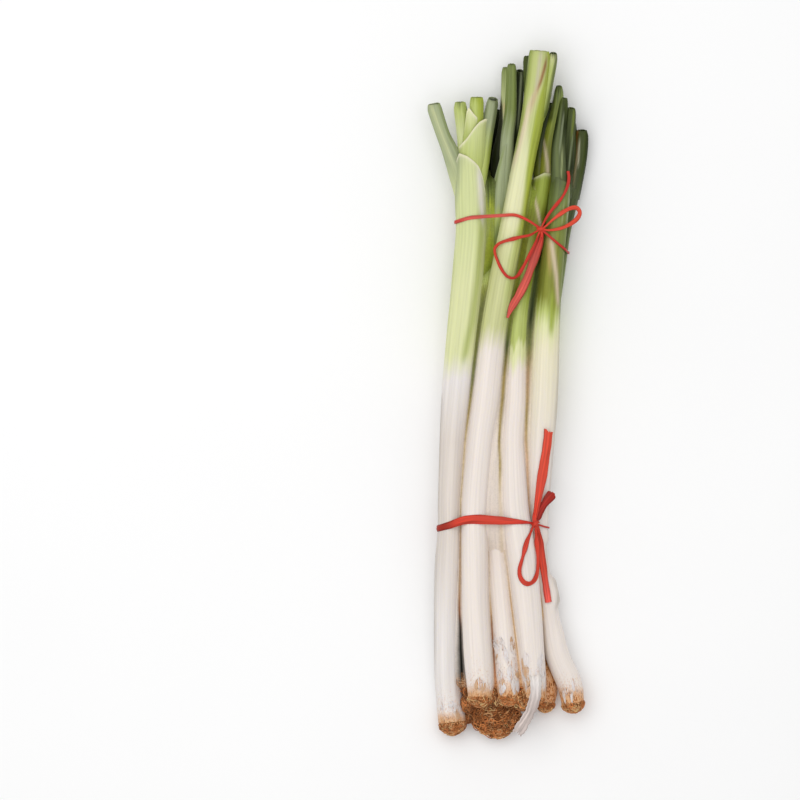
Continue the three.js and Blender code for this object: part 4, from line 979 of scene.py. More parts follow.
def stalk(stations, coat, seed, own, grid=LEAF_GRID, rim=None):
    """One tube of a stalk, as (points, colours, straightened places). With a rim, it is a sheath
    with an oblique pale edge, and else its end is cut across and hollow."""
    run, reach = course(stations)
    columns, row = grid
    angle = 2 * np.pi * np.arange(columns) / columns
    if rim:
        end = rim_lengths(run, reach, angle, rim)
    else:
        end = reach - 0.5 * coat.get("tilt", 0.6) * (1 - np.sin(angle))
        end = end - CUT_ROUGHNESS * np.abs(ripple(seed + 4, angle, 0))
    rows = int(reach / row)
    lips = np.array(RIM)
    length = np.vstack([np.linspace(0, 1, rows)[:, None] * (end - RIM[0][0]), end - lips[:, :1]])
    inset, dark = (np.vstack([np.zeros((rows, 1)), lips[:, k : k + 1]]) for k in (1, 2))
    inset = (SHEATH_WALL if rim else LEAF_WALL) * inset
    angle = np.broadcast_to(angle, length.shape)
    flat = on_tube(run, length, angle, 0)
    colour, proud = painted(flat, angle, length, coat, seed)
    # The colour is darkened with painted shade where the stalk lies against its neighbours.
    tone = colour[..., :3] * pressed(flat, own)
    proud = proud + RIB_HEIGHT * ripple(seed + 3, angle, length, 30)
    to_rim = end - length
    if rim:
        start = coat.get("edge_from", OPEN_EDGE)
        shown = coat.get("edged", PALE_EDGE if "rim" in coat else 0)
        shown = shown * eased(flat[..., 0], start - 3, start + 1)
        tone = mixed(tone, "cream", shown * (1 - dark) * np.exp(-((to_rim / EDGE_WIDTH) ** 2)))
        proud = proud + EDGE_CURL * shown * np.exp(-to_rim / EDGE_CURL_WIDTH)
    else:
        crease = coat.get("crease", 0) * eased(length / reach, 0.15, 0.5)
        proud = proud - crease * np.exp(-(((angle - TOP) / CREASE_WIDTH) ** 2))
        proud = proud - TIP_DRAW * eased(TIP_GATHER - to_rim, 0, TIP_GATHER)
        proud = proud - coat.get("tucked", 0) * (1 - eased(length, 0, TUCK_LENGTH))
        # Just below a leaf's cut its colour is darkened: painted shade.
        tone = mixed(tone, "deep", coat.get("cut", CUT_SHADE) * np.exp(-((to_rim / CUT_SHADE_WIDTH) ** 2)))
    colour[..., :3] = mixed(tone, "hollow", dark)
    points = on_tube(run, length, angle, proud - inset)
    width = float(run(np.array([reach / 2]))[4][0, 0])
    further = length + STALK_STRETCH * seed
    return points, colour, np.stack([width * np.cos(angle), width * np.sin(angle), further], axis=-1)


def flake(run, low, high, turns, shade, patch, seed):
    """A thin torn flake of skin on a stalk. Its ragged sides lie close, and its upper end may
    stand off."""
    stand = patch.get("stand", 0)
    along = np.linspace(-1, 1, int(high - low) + 8)[:, None]
    across = np.linspace(-1, 1, FLAKE_COLUMNS)
    length = (low + high) / 2 + (high - low) / 2 * along
    half = (turns[1] - turns[0]) / 2 * (1 - 0.85 * np.abs(along) ** 2.5)
    half = half * (1 + 0.3 * ripple(seed + 1, 0, length, 2.5))
    turn = np.mean(turns) + 0.14 * ripple(seed, 0, length, 5) + half * across
    length = length + 1.4 * ripple(seed + 2, 2.2 * across, 0)
    raised = (1 - across**6) * (1 - np.minimum(np.abs(along), 1) ** 8)
    wrinkles = FLAKE_WRINKLE * np.abs(ripple(seed + 3, 9 * turn, length, 6))
    stood = stand * eased(along, -0.6, 1) * (0.6 + 0.4 * across**2)
    proud = (FLAKE_LIFT + wrinkles) * raised - FLAKE_SINK + stood
    under = proud - FLAKE_GAP * (1 - eased(stand, 0, 1)) - FLAKE_THICKNESS
    points = two_sided(*(on_tube(run, length, turn + TOP, height) for height in (under, proud)))
    loop, lengths = two_sided(turn, turn), two_sided(length, length)
    tint = 1 + 0.1 * ripple(seed + 6, 5 * loop, lengths, 6)
    colour = np.ones(loop.shape + (4,))
    colour[..., :3] = COLOURS[shade] * tint[..., None]
    colour[..., 3] = 1 - patch["soil"] * np.abs(ripple(seed + 7, 3 * loop, lengths, 5))
    straight = np.stack([FLAKE_WIDTH * loop, 0 * loop, lengths + FLAKE_STRETCH * seed], axis=-1)
    return points, colour, straight


def flakes(onion, patch):
    """Small flakes of skin over one stretch of a stalk."""
    run, _ = course(onion["shank"])
    random = np.random.default_rng(patch["seed"])
    made = []
    for number in range(patch["count"]):
        low = random.uniform(*patch["along"])
        high = low + random.uniform(*patch["long"])
        first = np.radians(random.uniform(*patch["turn"]))
        turns = (first, first + np.radians(random.uniform(*patch["wide"])))
        shade = patch["shades"][number % len(patch["shades"])]
        made.append(flake(run, low, high, turns, shade, patch, patch["seed"] + 10 * number))
    return made


def lining(table, seed):
    """The dry outer leaf between two shanks, that closes the gap where they lie apart. It has
    their own colour under painted warm shade, but for a seam that is mostly painted shade, and it
    dips out of sight at both ends."""
    seam = table["seam"]
    columns, row = LINING_GRID
    y = np.arange(seam[0][0], seam[-1][0] + row, row)
    first, second = (next(o for o in ONIONS if o["name"] == name) for name in table["between"])
    a, b = (np.stack(shank_circle(onion, y), axis=1) for onion in (first, second))
    on = unit(b[:, :2] - a[:, :2])
    out = np.stack([-on[:, 1], on[:, 0]], axis=1)
    rise = np.radians(table["rise"])
    left = a[:, :2] + a[:, 2:] * (np.cos(rise) * on + np.sin(rise) * out)
    right = b[:, :2] + b[:, 2:] * (np.sin(rise) * out - np.cos(rise) * on)
    share = np.linspace(-0.1, 1.1, columns)
    line = left[:, None] + (right - left)[:, None] * share[:, None]
    places = y[:, None] + 0 * share
    drop = LINING_SAG * share * (1 - share) + 0.2 * ripple(seed, 4 * share, places, 12)
    drop = drop + LINING_DIP * (1 - eased(places, y[0], y[0] + table["dips"][0]))
    drop = drop + LINING_DIP * eased(places, y[-1] - table["dips"][1], y[-1])
    heights = np.maximum(line[..., 1] - drop, LINING_LOWEST)
    over = np.stack([line[..., 0], places, heights], axis=-1)
    points = two_sided(over - [0, 0, LINING_THICKNESS], over)
    swayed = places + 7 * ripple(seed + 1, 2 * share, places, 25)
    own = [along_body(COATS[name]["body"], swayed) for name in table["between"]]
    # The two shanks' colours, darkened by painted warm shade.
    shell = (own[0] * (1 - share[:, None]) + own[1] * share[:, None]) * LINING_SHADE
    wide, middle = (read([[row[0], row[k]] for row in seam], swayed) for k in (2, 3))
    wandering = 0.06 * ripple(seed + 3, 0, places, 20)
    # The seam: painted shade where its colours are dark.
    seam_weight = np.exp(-(((share - middle + wandering) / wide) ** 2))[..., None]
    colour = shell * (1 - seam_weight) + along_body([row[:2] for row in seam], swayed) * seam_weight
    colour = colour * (1 + 0.08 * ripple(seed + 2, 5 * share, places, 20))[..., None]
    soil = read(table.get("soil", [[0, 0]]), swayed)
    colour = np.concatenate([colour, 1 - soil[..., None]], axis=-1)
    return points, two_sided(colour, colour), points


def matted(on_lump, low, high, count, radius, shades, seed):
    """A rough lump with curling roots wound over it. on_lump gives its points, and how wide it
    is there, at lengths from low to high, turns round it and shares of its height."""
    random = np.random.default_rng(seed)
    around = 2 * np.pi * np.arange(LUMP_COLUMNS) / LUMP_COLUMNS
    length = np.linspace(low, high, LUMP_ROWS)[:, None] + 0 * around
    rough = LUMP_HEIGHT + 0.05 * ripple(seed, around, length, 2.5)
    rough = rough + random.uniform(-0.03, 0.03, length.shape)
    lump = on_lump(length, around + 0 * length, rough)[0]
    lump[..., 2] = np.maximum(lump[..., 2], 0)
    dabs = random.integers(len(shades), size=lump.shape[:2])
    shade = np.array([COLOURS[name] for name in shades])[dabs]
    shade = shade * random.uniform(0.4, 1.0, dabs.shape)[..., None]
    grids = [(lump, shade, lump)]
    angle = 2 * np.pi * np.arange(ROOT_COLUMNS) / ROOT_COLUMNS
    for _ in range(count):
        place = random.uniform(low, high)
        turn, heading = random.uniform(0, 2 * np.pi), random.uniform(-np.pi, np.pi)
        curl, height = random.uniform(-0.6, 0.6), random.uniform(LUMP_HEIGHT, 0.99)
        rise, step = random.uniform(-0.006, 0.008), random.uniform(0.9, 1.5)
        thick = radius * random.uniform(0.6, 1.25)
        tone = COLOURS[shades[random.integers(len(shades))]] * random.uniform(*ROOT_TONES)
        stations = []
        for i in range(ROOT_STEPS):
            point, girth = on_lump(np.array(place), np.array(turn), np.array(height))
            thin = thick * (1 - 0.6 * i / ROOT_STEPS)
            point[2] = max(point[2], thin)
            stations.append([*point, thin])
            heading += curl + random.normal(0, 0.5)
            place = min(max(place + step * np.cos(heading), low), high)
            turn += step * np.sin(heading) / max(girth, 2.0)
            height = min(height + rise, 1.03)
        line, reach = course(stations)
        length = np.linspace(0, reach, ROOT_STEPS)[:, None] + 0 * angle
        points = on_tube(line, length, angle + 0 * length, 0)
        colour = np.broadcast_to(tone, points.shape) * random.uniform(0.75, 1.25, (len(length), 1, 1))
        grids.append((points, colour, points))
    return grids


def root_mat(mat, seed):
    """A small mat of roots that fills the gap between two root ends."""
    centre, halves = np.array(mat["centre"], float), np.array(mat["halves"], float)

    def on_mat(length, turn, height):
        rise = length / halves.mean() - np.pi / 2
        ball = np.stack([np.cos(rise) * np.cos(turn), np.cos(rise) * np.sin(turn), np.sin(rise)], axis=-1)
        return centre + ball * halves * height[..., None], halves.mean() * np.cos(rise)

    reach = np.pi * halves.mean()
    return matted(on_mat, 0.02 * reach, 0.98 * reach, mat["count"], MAT_RADIUS, MAT_ROOTS, seed)


def root_tuft(onion, seed):
    """The matted roots under a shank."""
    run, _ = course(onion["shank"])
    plate, on, _, _, sizes = (part[0] for part in run(np.array([0.0])))
    away = -on
    side = unit(np.cross(away, UP))
    up = np.cross(side, away)
    roots = onion["roots"]
    core, spread = roots["core"], roots["spread"]
    halves = sizes[0] * np.array([spread, min(spread, LUMP_THICKEST)])
    joined = sizes[0] / halves.mean()
    collar = [[-2 / core, 0.96 * joined], [0, 0.99 * joined]]
    outline = np.array(collar + roots["outline"])
    lengths = reached(outline * [core, halves.mean()])

    def on_lump(length, turn, height):
        depth, share = (np.interp(length, lengths, outline[:, k]) for k in range(2))
        wide = (halves[0] * share * height * np.cos(turn))[..., None]
        high = (-halves[1] * share * height * np.sin(turn))[..., None]
        reach = (ROOT_GAP + depth * core + 0.9 * core * (height - 1))[..., None]
        return plate + away * reach + side * wide + up * high, halves.mean() * share

    return matted(on_lump, 0.0, lengths[-1], roots["count"], roots["radius"], roots["shades"], seed)


def ribbon_shade(across, folds, length, seed, rolled=0.35):
    """How bright a ribbon is painted across and along: painted shade on its turned-down edges and
    folds, and a painted highlight along its middle.
    """
    edges = 1.08 - rolled * np.abs(across) ** 3
    turned = 1 + 0.2 * ripple(seed + 3, 1.2 * across, length, 7)
    return edges * turned * (1 + 0.6 * folds + 0.05 * ripple(seed + 4, 6 * across, length, 12))


def strip(route, width, pinched, seed, thickness=0.3, end="square", pleat=0.16,
          tones=((0, "red"),), ragged=0.5, turning=0.12, narrow=1.0, opens=PINCH_LENGTH, torn=0,
          arched=0.28, rolled=0.35, sunk=0):
    """A soft strip along [x, y, z, roll] points, pleated where a knot gathers it, with its free
    end cut ragged and its start torn to points where it comes off a shank. Its edges bend down
    by arched of its half width, rolled is how much painted shade darkens them, and its start lies
    sunk mm lower."""
    run, reach = course(route)
    columns, row = STRIP_GRID
    across = np.linspace(-1, 1, columns)
    length = np.linspace(0, reach, max(int(reach / row), 8))[:, None]
    free = np.inf
    for tied, off in zip(pinched, (length, reach - length)):
        free = np.minimum(free, off if tied else np.inf)
    opened = eased(free, 0, opens)
    half = narrow * width / 2 * (PINCH + (1 - PINCH) * opened)
    if end == "point":
        half = half * (1 - 0.66 * eased(length, reach - 16, reach))
    half = half * (1 + turning * ripple(seed, 0, length, 5))
    frayed = half + 0.1 * torn * ripple(seed + 11, 0, length, 1.6)
    cut = ragged * ripple(seed + 1, 7 * across, 0)
    if end == "step":
        cut = cut - 2.4 * eased(across, -0.6, -0.1)
    cut = cut - (cut[:4].max() if end == "step" else cut[4:9].max())
    if not pinched[1]:
        length = length + cut * eased(length, reach - 6, reach)
    length = length + torn * np.abs(ripple(seed + 9, 5 * across, 0)) * (1 - eased(length, 0, 2 * torn + 1))
    length = np.minimum(length + 0 * across, reach)
    middle, _, side, up, roll = run(length)
    middle[..., 2] -= sunk * (1 - eased(length, 0, 14))
    lean = np.radians(roll)
    side, up = side * np.cos(lean) - up * np.sin(lean), up * np.cos(lean) + side * np.sin(lean)
    swayed = 2.6 * np.pi * across + 0.9 * np.sin(length / 17 + seed) + seed
    folds = (pleat + 0.3 * (1 - opened)) * np.cos(swayed)
    folds = folds * np.minimum(half, SOFT_HALF) / SOFT_HALF
    arch = -arched * half * across**2 + 0.06 * ripple(seed + 2, 4 * across, length, 7)
    over = middle + side * (frayed * across)[..., None] + up * (folds + arch + thickness / 2)[..., None]
    shine = ribbon_shade(across, folds, length, seed, rolled)
    lengths = two_sided(length, length)
    colour = along_body(tones, lengths) * two_sided(UNDER_SHADE * shine, shine)[..., None]
    flat = two_sided(half * across, half * across + 20)
    straight = np.stack([flat, 0 * flat, lengths + STRIP_STRETCH * seed], axis=-1)
    return two_sided(over - up * thickness, over), colour, straight


def gathers(knot_at, bows, seed):
    """The gathered starts of a bow's ends and loops, from inside the knot to where each opens."""
    at = np.array(knot_at, float)
    made = []
    for number, bow in enumerate(bows):
        route = np.array(bow["route"], float)
        for tied, (first, second) in zip(bow["pinched"], (route[:2], route[:-3:-1])):
            if not tied:
                continue
            start, inwards = first[:3], (first[:3] - second[:3])
            stop = start - 0.35 * inwards
            middle = (at + start) / 2 + 0.15 * inwards
            stations = [[*at, 0], [*middle, first[3] / 2], [*start, first[3]], [*stop, first[3]]]
            made.append(strip(stations, bow["width"] * PINCH, [False, False], seed + 7 * number,
                              pleat=0.1, ragged=0.1, turning=0.05))
    return made


def hull(points):
    """The convex hull of points in a plane, counter-clockwise."""
    def chain(ordered):
        kept = []
        for p in ordered:
            while len(kept) > 1:
                (ax, ay), (bx, by) = kept[-2:]
                if (bx - ax) * (p[1] - ay) - (by - ay) * (p[0] - ax) > 0.01:
                    break
                kept.pop()
            kept.append(p)
        return kept[:-1]

    ordered = sorted(points)
    return np.array(chain(ordered) + chain(ordered[::-1]))


def tie_line(tie):
    """The tightest closed line round all the shanks, with the tie's own y at each x, and how
    far along the line each of its points lies."""
    over, under = tie["over"], tie["under"]
    angles = 2 * np.pi * np.arange(SECTION_POINTS) / SECTION_POINTS
    around = []
    for onion in ONIONS:
        guess = shank_circle(onion, under[0][1])[0]
        for line in (over, under):
            x, z, radius = shank_circle(onion, read(line, guess))
            reach = radius + BAND_OFFSET
            around += list(zip(x + reach * np.cos(angles), z + reach * np.sin(angles)))
    corners = closed(hull(around))
    lengths = reached(corners)
    length = np.linspace(0, lengths[-1], BAND_ROWS, endpoint=False)
    x, z = (np.interp(length, lengths, corners[:, k]) for k in range(2))
    middle = (corners[:, 1].min() + corners[:, 1].max()) / 2
    low, high = read(under, x), read(over, x)
    y = low + (high - low) * eased(z, middle - 8, middle + 8)
    y = np.convolve(np.concatenate([y[-7:], y, y[:7]]), np.ones(15) / 15, "valid")
    return np.stack([x, y, z], axis=1), length


def band(tie):
    """The ribbon of a tie round the bunch, pleated, and narrower where it is pulled tight."""
    seed = tie["seed"]
    line, length = tie_line(tie)
    on = unit(np.roll(line, -1, axis=0) - np.roll(line, 1, axis=0))
    out = unit(np.stack([on[:, 2], np.zeros(len(on)), -on[:, 0]], axis=1))
    side = np.cross(out, on)
    across = np.linspace(-1, 1, BAND_COLUMNS)
    down = length[:, None]
    half = read(tie["widths"], line[:, :1]) / 2 * (1 + 0.05 * ripple(seed, 0, down, 11))
    folds = 0.17 * np.cos(2.3 * np.pi * across + 1.2 * np.sin(down / 21) + seed)
    folds = folds * np.minimum(half, SOFT_HALF) / SOFT_HALF + 0.05 * ripple(seed + 1, 4 * across, down, 9)
    wide = half * across
    lift = folds - 0.2 * half * across**2 + 0.2
    over = line[:, None] + side[:, None] * wide[..., None] + out[:, None] * lift[..., None]
    points = closed(two_sided(over - out[:, None] * BAND_THICKNESS, over))
    points[..., 2] = np.maximum(points[..., 2], BAND_LOWEST)
    shine = ribbon_shade(across, folds, down, seed)
    shine = shine * (1 - 0.45 * eased(-line[:, :1], *tie["shaded"]))
    own = along_body(tie["tones"], line[:, :1] + 0 * shine)
    colour = two_sided(UNDER_SHADE * shine, shine)[..., None] * two_sided(own, own)
    flat = closed(two_sided(wide + 20, wide))
    lengths = np.append(length, 2 * length[-1] - length[-2])[:, None] + 0 * flat
    return points, closed(colour), np.stack([flat, 0 * flat, lengths], axis=-1)


def knot(table, seed):
    """A tight knot: a ribbed lump, and the turn of ribbon that crosses it."""
    at, size = np.array(table["at"], float), KNOT_SHARE * np.array(table["size"], float) / 2
    turn = np.radians(table["turn"])

    def turned(x, y, z):
        placed = [x * np.cos(turn) - y * np.sin(turn), x * np.sin(turn) + y * np.cos(turn), z]
        return at + np.stack(placed, axis=-1)

    rise = np.linspace(0.02, np.pi - 0.02, 22)[:, None]
    around = 2 * np.pi * np.arange(36) / 36
    ribs = 1 + 0.1 * np.cos(KNOT_RIBS * around + 3 * np.cos(rise))
    ribs = ribs + 0.05 * ripple(seed, around, 9 * rise, 4)
    points = turned(size[0] * ribs * np.sin(rise) * np.cos(around),
                    -size[1] * np.cos(rise) + 0 * around,
                    -size[2] * ribs * np.sin(rise) * np.sin(around))
    # The knot's red is painted darker in the grooves between its ribs and lighter on them: painted shade
    # and light.
    colour = COLOURS["red"] * (0.8 + 0.25 * ribs)[..., None] * 0.95
    straight = np.stack([6 * around + 0 * rise, 0 * ribs, 9 * rise + 0 * around], axis=-1)
    step = np.linspace(-0.62, 0.62, 9) * np.pi
    crossing = turned((size[0] + WRAP_LIFT) * np.sin(step), 0.8 * np.sin(2 * step),
                      (size[2] + WRAP_LIFT) * np.cos(step))
    wrap = [[*point, 0] for point in crossing]
    return [(points, colour, straight),
            strip(wrap, WRAP_WIDTH, [False, False], seed + 5, thickness=0.35, pleat=0.12)]


def piece(name, grids, material):
    """One object from grids whose columns run round and close, in place of its CAD node."""
    points, faces, colours, places, start = [], [], [], [], 0
    for grid, colour, straight in grids:
        rows, columns = grid.shape[:2]
        number = start + np.arange(rows * columns).reshape(rows, columns)
        following = np.roll(number, -1, axis=1)
        quads = [number[:-1], following[:-1], following[1:], number[1:]]
        faces.append(np.stack(quads, axis=-1).reshape(-1, 4))
        points.append(grid.reshape(-1, 3))
        rgba = np.ones((rows, columns, 4))
        rgba[..., : colour.shape[-1]] = np.clip(colour, 0, 1)
        colours.append(rgba.reshape(-1, 4))
        places.append(straight.reshape(-1, 3))
        start += rows * columns
    mesh = bpy.data.meshes.new(name)
    mesh.from_pydata((np.concatenate(points) * MM).tolist(), [], np.concatenate(faces).tolist())
    paint = mesh.attributes.new("paint", "FLOAT_COLOR", "POINT")
    paint.data.foreach_set("color", np.concatenate(colours).ravel())
    straightened = mesh.attributes.new("straight", "FLOAT_VECTOR", "POINT")
    straightened.data.foreach_set("vector", np.concatenate(places).ravel())
    mesh.shade_smooth()
    mesh.materials.append(material)
    made = bpy.data.objects.new(name, mesh)
    bpy.context.scene.collection.objects.link(made)
    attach(made, "root")
    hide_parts(name.removesuffix("_detail"))
    return made


def add(tree, kind, inputs=(), stops=None, **settings):
    """A new node with its settings, and with each of its inputs set or linked."""
    made = tree.nodes.new(kind)
    for name, value in settings.items():
        setattr(made, name, value)
    for name, value in dict(inputs).items():
        if isinstance(value, bpy.types.NodeSocket):
            tree.links.new(value, made.inputs[name])
        else:
            made.inputs[name].default_value = value
    if stops:
        ramp = made.color_ramp.elements
        ramp[0].position, ramp[0].color = stops[0]
        ramp[1].position, ramp[1].color = stops[-1]
        for position, colour in stops[1:-1]:
            ramp.new(position).color = colour
    return made


def grey(level):
    """A grey of this brightness."""
    return (level, level, level, 1)


def finish(name, veins, contrast, rough, bump, depth, calm=1.0, shine=0.4, **surface):
    """A finish whose colour is painted on its piece, broken up by veins and specked with soil
    where the paint isn't clean. veins is how wide and how long they are in mm, contrast the
    darkest tone between them, calm how much of them pale places keep, rough the lowest and
    highest roughness, depth their height in mm, and shine how glossy it is where it isn't dark."""
    material = bpy.data.materials.new(name)
    material.use_nodes = True
    tree = material.node_tree
    tree.nodes.clear()
    paint = add(tree, "ShaderNodeAttribute", attribute_name="paint")
    straight = add(tree, "ShaderNodeAttribute", attribute_name="straight")
    bright = add(tree, "ShaderNodeRGBToBW", {"Color": paint.outputs["Color"]})

    # Fine veins, and broad washes four times as wide, both fainter on pale places.
    width, length = veins
    drawn = add(tree, "ShaderNodeMapping",
                {"Vector": straight.outputs["Vector"], "Scale": (1 / width, 1 / width, 1 / length)})
    fine = add(tree, "ShaderNodeTexNoise",
               {"Vector": drawn.outputs["Vector"], "Scale": 1, "Detail": 3, "Roughness": 0.6})
    tone = add(tree, "ShaderNodeValToRGB", {"Fac": fine.outputs["Fac"]},
               stops=[(0.3, grey(contrast)), (0.62, grey(1))])
    patches = add(tree, "ShaderNodeMapping",
                  {"Vector": straight.outputs["Vector"],
                   "Scale": (0.25 / width, 0.25 / width, 0.6 / length)})
    broad = add(tree, "ShaderNodeTexNoise",
                {"Vector": patches.outputs["Vector"], "Scale": 1, "Detail": 2})
    wash = add(tree, "ShaderNodeValToRGB", {"Fac": broad.outputs["Fac"]},
               stops=[(0.35, grey(0.5 + contrast / 2)), (0.6, grey(1))])
    amount = add(tree, "ShaderNodeMapRange",
                 {"Value": bright.outputs["Val"], "From Min": 0.35, "From Max": 0.75,
                  "To Min": 1, "To Max": calm})
    veined = add(tree, "ShaderNodeMix",
                 {0: amount.outputs["Result"], 6: paint.outputs["Color"], 7: tone.outputs["Color"]},
                 data_type="RGBA", blend_type="MULTIPLY")
    washed = add(tree, "ShaderNodeMix",
                 {0: amount.outputs["Result"], 6: veined.outputs[2], 7: wash.outputs["Color"]},
                 data_type="RGBA", blend_type="MULTIPLY")

    # Crumbs of soil, in shades of earth, that cover more the less clean the paint is.
    specks = add(tree, "ShaderNodeMapping",
                 {"Vector": straight.outputs["Vector"], "Scale": (1 / SPECK, 1 / SPECK, 0.5 / SPECK)})
    crumbs = add(tree, "ShaderNodeTexNoise",
                 {"Vector": specks.outputs["Vector"], "Scale": 1, "Detail": 3, "Roughness": 0.7})
    clods = add(tree, "ShaderNodeTexNoise",
                {"Vector": specks.outputs["Vector"], "Scale": 0.7, "Detail": 2, "Roughness": 0.8})
    shades = zip((0.36, 0.45, 0.53, 0.62), ("dark root", "root", "pale root", "peach"))
    earth = add(tree, "ShaderNodeValToRGB", {"Fac": clods.outputs["Fac"]},
                stops=[(place, (*COLOURS[shade], 1)) for place, shade in shades])
    bare = add(tree, "ShaderNodeMath", {0: 1.0, 1: paint.outputs["Alpha"]}, operation="SUBTRACT")
    spread = add(tree, "ShaderNodeMath", {0: crumbs.outputs["Fac"], 1: bare.outputs[0]}, operation="ADD")
    cover = add(tree, "ShaderNodeMapRange",
                {"Value": spread.outputs[0], "From Min": 0.7, "From Max": 1.12})
    soiled = add(tree, "ShaderNodeMix",
                 {0: cover.outputs["Result"], 6: washed.outputs[2], 7: earth.outputs["Color"]},
                 data_type="RGBA")

    # Roughness that wanders with the washes, gloss that dark paint loses so that painted shade stays
    # dark, and raised veins.
    sheen = add(tree, "ShaderNodeMapRange",
                {"Value": broad.outputs["Fac"], "From Min": 0.3, "From Max": 0.7,
                 "To Min": rough[0], "To Max": rough[1]})
    gloss = add(tree, "ShaderNodeMapRange",
                {"Value": bright.outputs["Val"], "From Min": 0.004, "From Max": 0.12,
                 "To Min": 0.02, "To Max": shine})
    raised = add(tree, "ShaderNodeBump",
                 {"Height": fine.outputs["Fac"], "Strength": bump, "Distance": depth * MM})
    shader = add(tree, "ShaderNodeBsdfPrincipled",
                 {"Base Color": soiled.outputs[2], "Roughness": sheen.outputs["Result"],
                  "Specular IOR Level": gloss.outputs["Result"],
                  "Normal": raised.outputs["Normal"], **surface})
    add(tree, "ShaderNodeOutputMaterial", {"Surface": shader.outputs["BSDF"]})
    return material


def camera_and_lamp():
    """A camera straight above, a broad soft lamp overhead and to the left, and pale air."""
    scene = bpy.context.scene
    data = bpy.data.cameras.new("camera")
    data.type = "ORTHO"
    data.ortho_scale = VIEW_WIDTH * MM
    camera = bpy.data.objects.new("camera", data)
    camera.location = (VIEW_CENTRE[0] * MM, VIEW_CENTRE[1] * MM, CAMERA_HEIGHT * MM)
    scene.collection.objects.link(camera)
    scene.camera = camera
    lamp = bpy.data.lights.new("overhead", "AREA")
    lamp.size, lamp.energy = LAMP_WIDTH, LAMP_POWER
    light = bpy.data.objects.new("overhead", lamp)
    light.location = LAMP_PLACE
    light.rotation_mode = "QUATERNION"
    light.rotation_quaternion = light.location.to_track_quat("Z", "Y")
    scene.collection.objects.link(light)
    scene.world = bpy.data.worlds.new("pale_room")
    scene.world.use_nodes = True
    air = scene.world.node_tree.nodes["Background"]
    air.inputs["Color"].default_value = grey(1)
    air.inputs["Strength"].default_value = ROOM_LIGHT
    scene.view_settings.view_transform = "Standard"


def floor():
    """The plain pale surface that the bunch lies on."""
    mesh = bpy.data.meshes.new("floor")
    half = FLOOR_WIDTH * MM / 2
    corners = [(-half, -half, 0), (half, -half, 0), (half, half, 0), (-half, half, 0)]
    mesh.from_pydata(corners, [], [(0, 1, 2, 3)])
    made = bpy.data.objects.new("floor", mesh)
    made.location.z = -FLOOR_DROP * MM
    bpy.context.scene.collection.objects.link(made)
    material = bpy.data.materials.new("pale_paper_sweep")
    material.use_nodes = True
    tree = material.node_tree
    shader = tree.nodes["Principled BSDF"]
    places = add(tree, "ShaderNodeTexCoord")
    cloud = add(tree, "ShaderNodeTexNoise", {"Vector": places.outputs["Object"], "Scale": 3.0})
    tone = add(tree, "ShaderNodeValToRGB", {"Fac": cloud.outputs["Fac"]},
               stops=[(0.3, grey(0.95)), (0.7, grey(0.965))])
    tree.links.new(tone.outputs["Color"], shader.inputs["Base Color"])
    shader.inputs["Roughness"].default_value = 0.9
    mesh.materials.append(material)


def bow_piece(bow, seed, ribbon):
    """A loop or a free end of a bow. The points along its path are worked out and not used."""
    made = piece(f'{bow["name"]}_detail',
                 [strip(bow["route"], bow["width"], bow["pinched"], seed, **bow["look"])],
                 ribbon)
    run, reach = course(bow["route"])
    (run(np.linspace(0, reach, 60))[0] * MM).tolist()


def tie_piece(tie, ribbon):
    """A tie: its ribbon round the bunch, its knot, and the gathered starts of its bow."""
    seed, at = tie["seed"], tie["knot"]["at"]
    bows = [bow for bow in BOWS if bow["name"].startswith(tie["name"])]
    grids = [band(tie), *knot(tie["knot"], seed + 4), *gathers(at, bows, seed + 8)]
    if tie is LOWER_TIE:
        # Wine red here is painted shade on the ribbon's red.
        grids.append(strip(SHORT_END["route"], SHORT_END["width"], SHORT_END["pinched"], SHORT_END_SEED,
                           tones=[[0, "wine"]], opens=5, ragged=1.2, turning=0.2))
    piece(f'{tie["name"]}_detail', grids, ribbon)


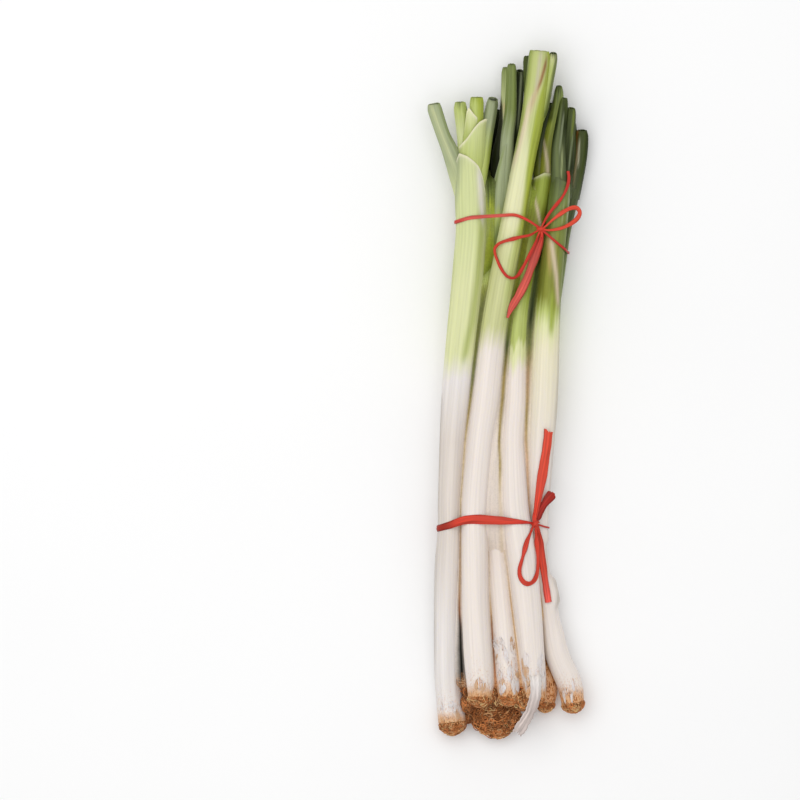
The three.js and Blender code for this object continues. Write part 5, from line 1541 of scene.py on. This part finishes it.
def onion_piece(onion, seed, sheath):
    """An onion's shank with its sheaths and leaves, its flakes of skin and the linings beside it."""
    own, coat = onion["name"], COATS[onion["name"]]
    rim, top = coat.get("rim"), onion["shank"][-1]
    if not rim and not onion.get("open_top"):
        rim = [[top[0] + k * top[3], top[1] - 4 - 0.4 * k * top[3]] for k in (-1, 0, 1)]
    grids = [stalk(onion["shank"] + coat.get("top", []), coat, seed, own, SHANK_GRID, rim)]
    for number, sleeve in enumerate(coat.get("sleeves", [])):
        grids.append(stalk(sleeve["stations"], sleeve, seed + 11 + number, own, SHANK_GRID, sleeve["rim"]))
    for number, leaf in enumerate(coat.get("inner", [])):
        grids.append(stalk(leaf["stations"], leaf, seed + 14 + number, own))
    for number, (stations, leaf) in enumerate(zip(onion["leaves"], coat["leaves"])):
        grids.append(stalk(stations, leaf, seed + 2 + number, own))
    for patch in SKINS:
        if patch["onion"] == own:
            grids += flakes(onion, patch)
    for number, table in enumerate(LININGS):
        if table["between"][0] == own:
            grids.append(lining(table, LINING_SEED + number))
    piece(f"onion_{own}_detail", grids, sheath)


def roots_piece(onion, seed, fibrous):
    """An onion's tuft of roots, with the mats of roots beside it."""
    tuft = root_tuft(onion, seed)
    for number, mat in enumerate(ROOT_MATS):
        if mat["onion"] == onion["name"]:
            tuft += root_mat(mat, MAT_SEED + number)
    piece(f'roots_{onion["name"]}_detail', tuft, fibrous)


camera_and_lamp()

# Raffia ribbon: flat, faintly glossy and full of fine lengthwise fibres. The real fibres are
# finer than 0.9 mm, and are drawn at that so that they show.
ribbon = finish("satin_raffia_ribbon", (0.9, 40), 0.86, (0.4, 0.6), 0.4, 0.1, shine=0.3)
for number, bow in enumerate(BOWS):
    bow_piece(bow, BOW_SEED + 10 * number, ribbon)
for tie in (UPPER_TIE, LOWER_TIE):
    tie_piece(tie, ribbon)

# Onion sheath: waxy, softly see-through and veined lengthwise about every 1.3 mm.
sheath = finish("waxy_onion_sheath", (1.3, 70), 0.76, (0.36, 0.52), 0.35, 0.1, calm=0.28, shine=0.3,
                **{"Subsurface Weight": 0.15, "Subsurface Scale": 0.003,
                   "Subsurface Radius": (1.0, 0.9, 0.5)})
for number, onion in enumerate(ONIONS):
    onion_piece(onion, ONION_SEED + 20 * number, sheath)

# Roots: matt, dry and fibrous.
fibrous = finish("dry_matted_roots", (0.6, 3), 0.6, (0.75, 0.95), 0.6, 0.2)
for number, onion in enumerate(ONIONS):
    roots_piece(onion, ROOTS_SEED + number, fibrous)

# Dry skin: thin, milky, matt and crinkled.
papery = finish("milky_dry_skin", (0.8, 8), 0.8, (0.8, 0.92), 0.5, 0.15, shine=0.05)
hanging = strip(LOOSE_SKIN["route"], LOOSE_SKIN["width"], [False, False], LOOSE_SKIN_SEED,
                thickness=0.15, pleat=0.22, tones=[[0, "ivory"], [10, "skin"], [28, "milk"]],
                ragged=2.8, turning=0.16, torn=5, arched=0.12, rolled=0.06, sunk=0.9)
piece("loose_skin_detail", [hanging], papery)

floor()
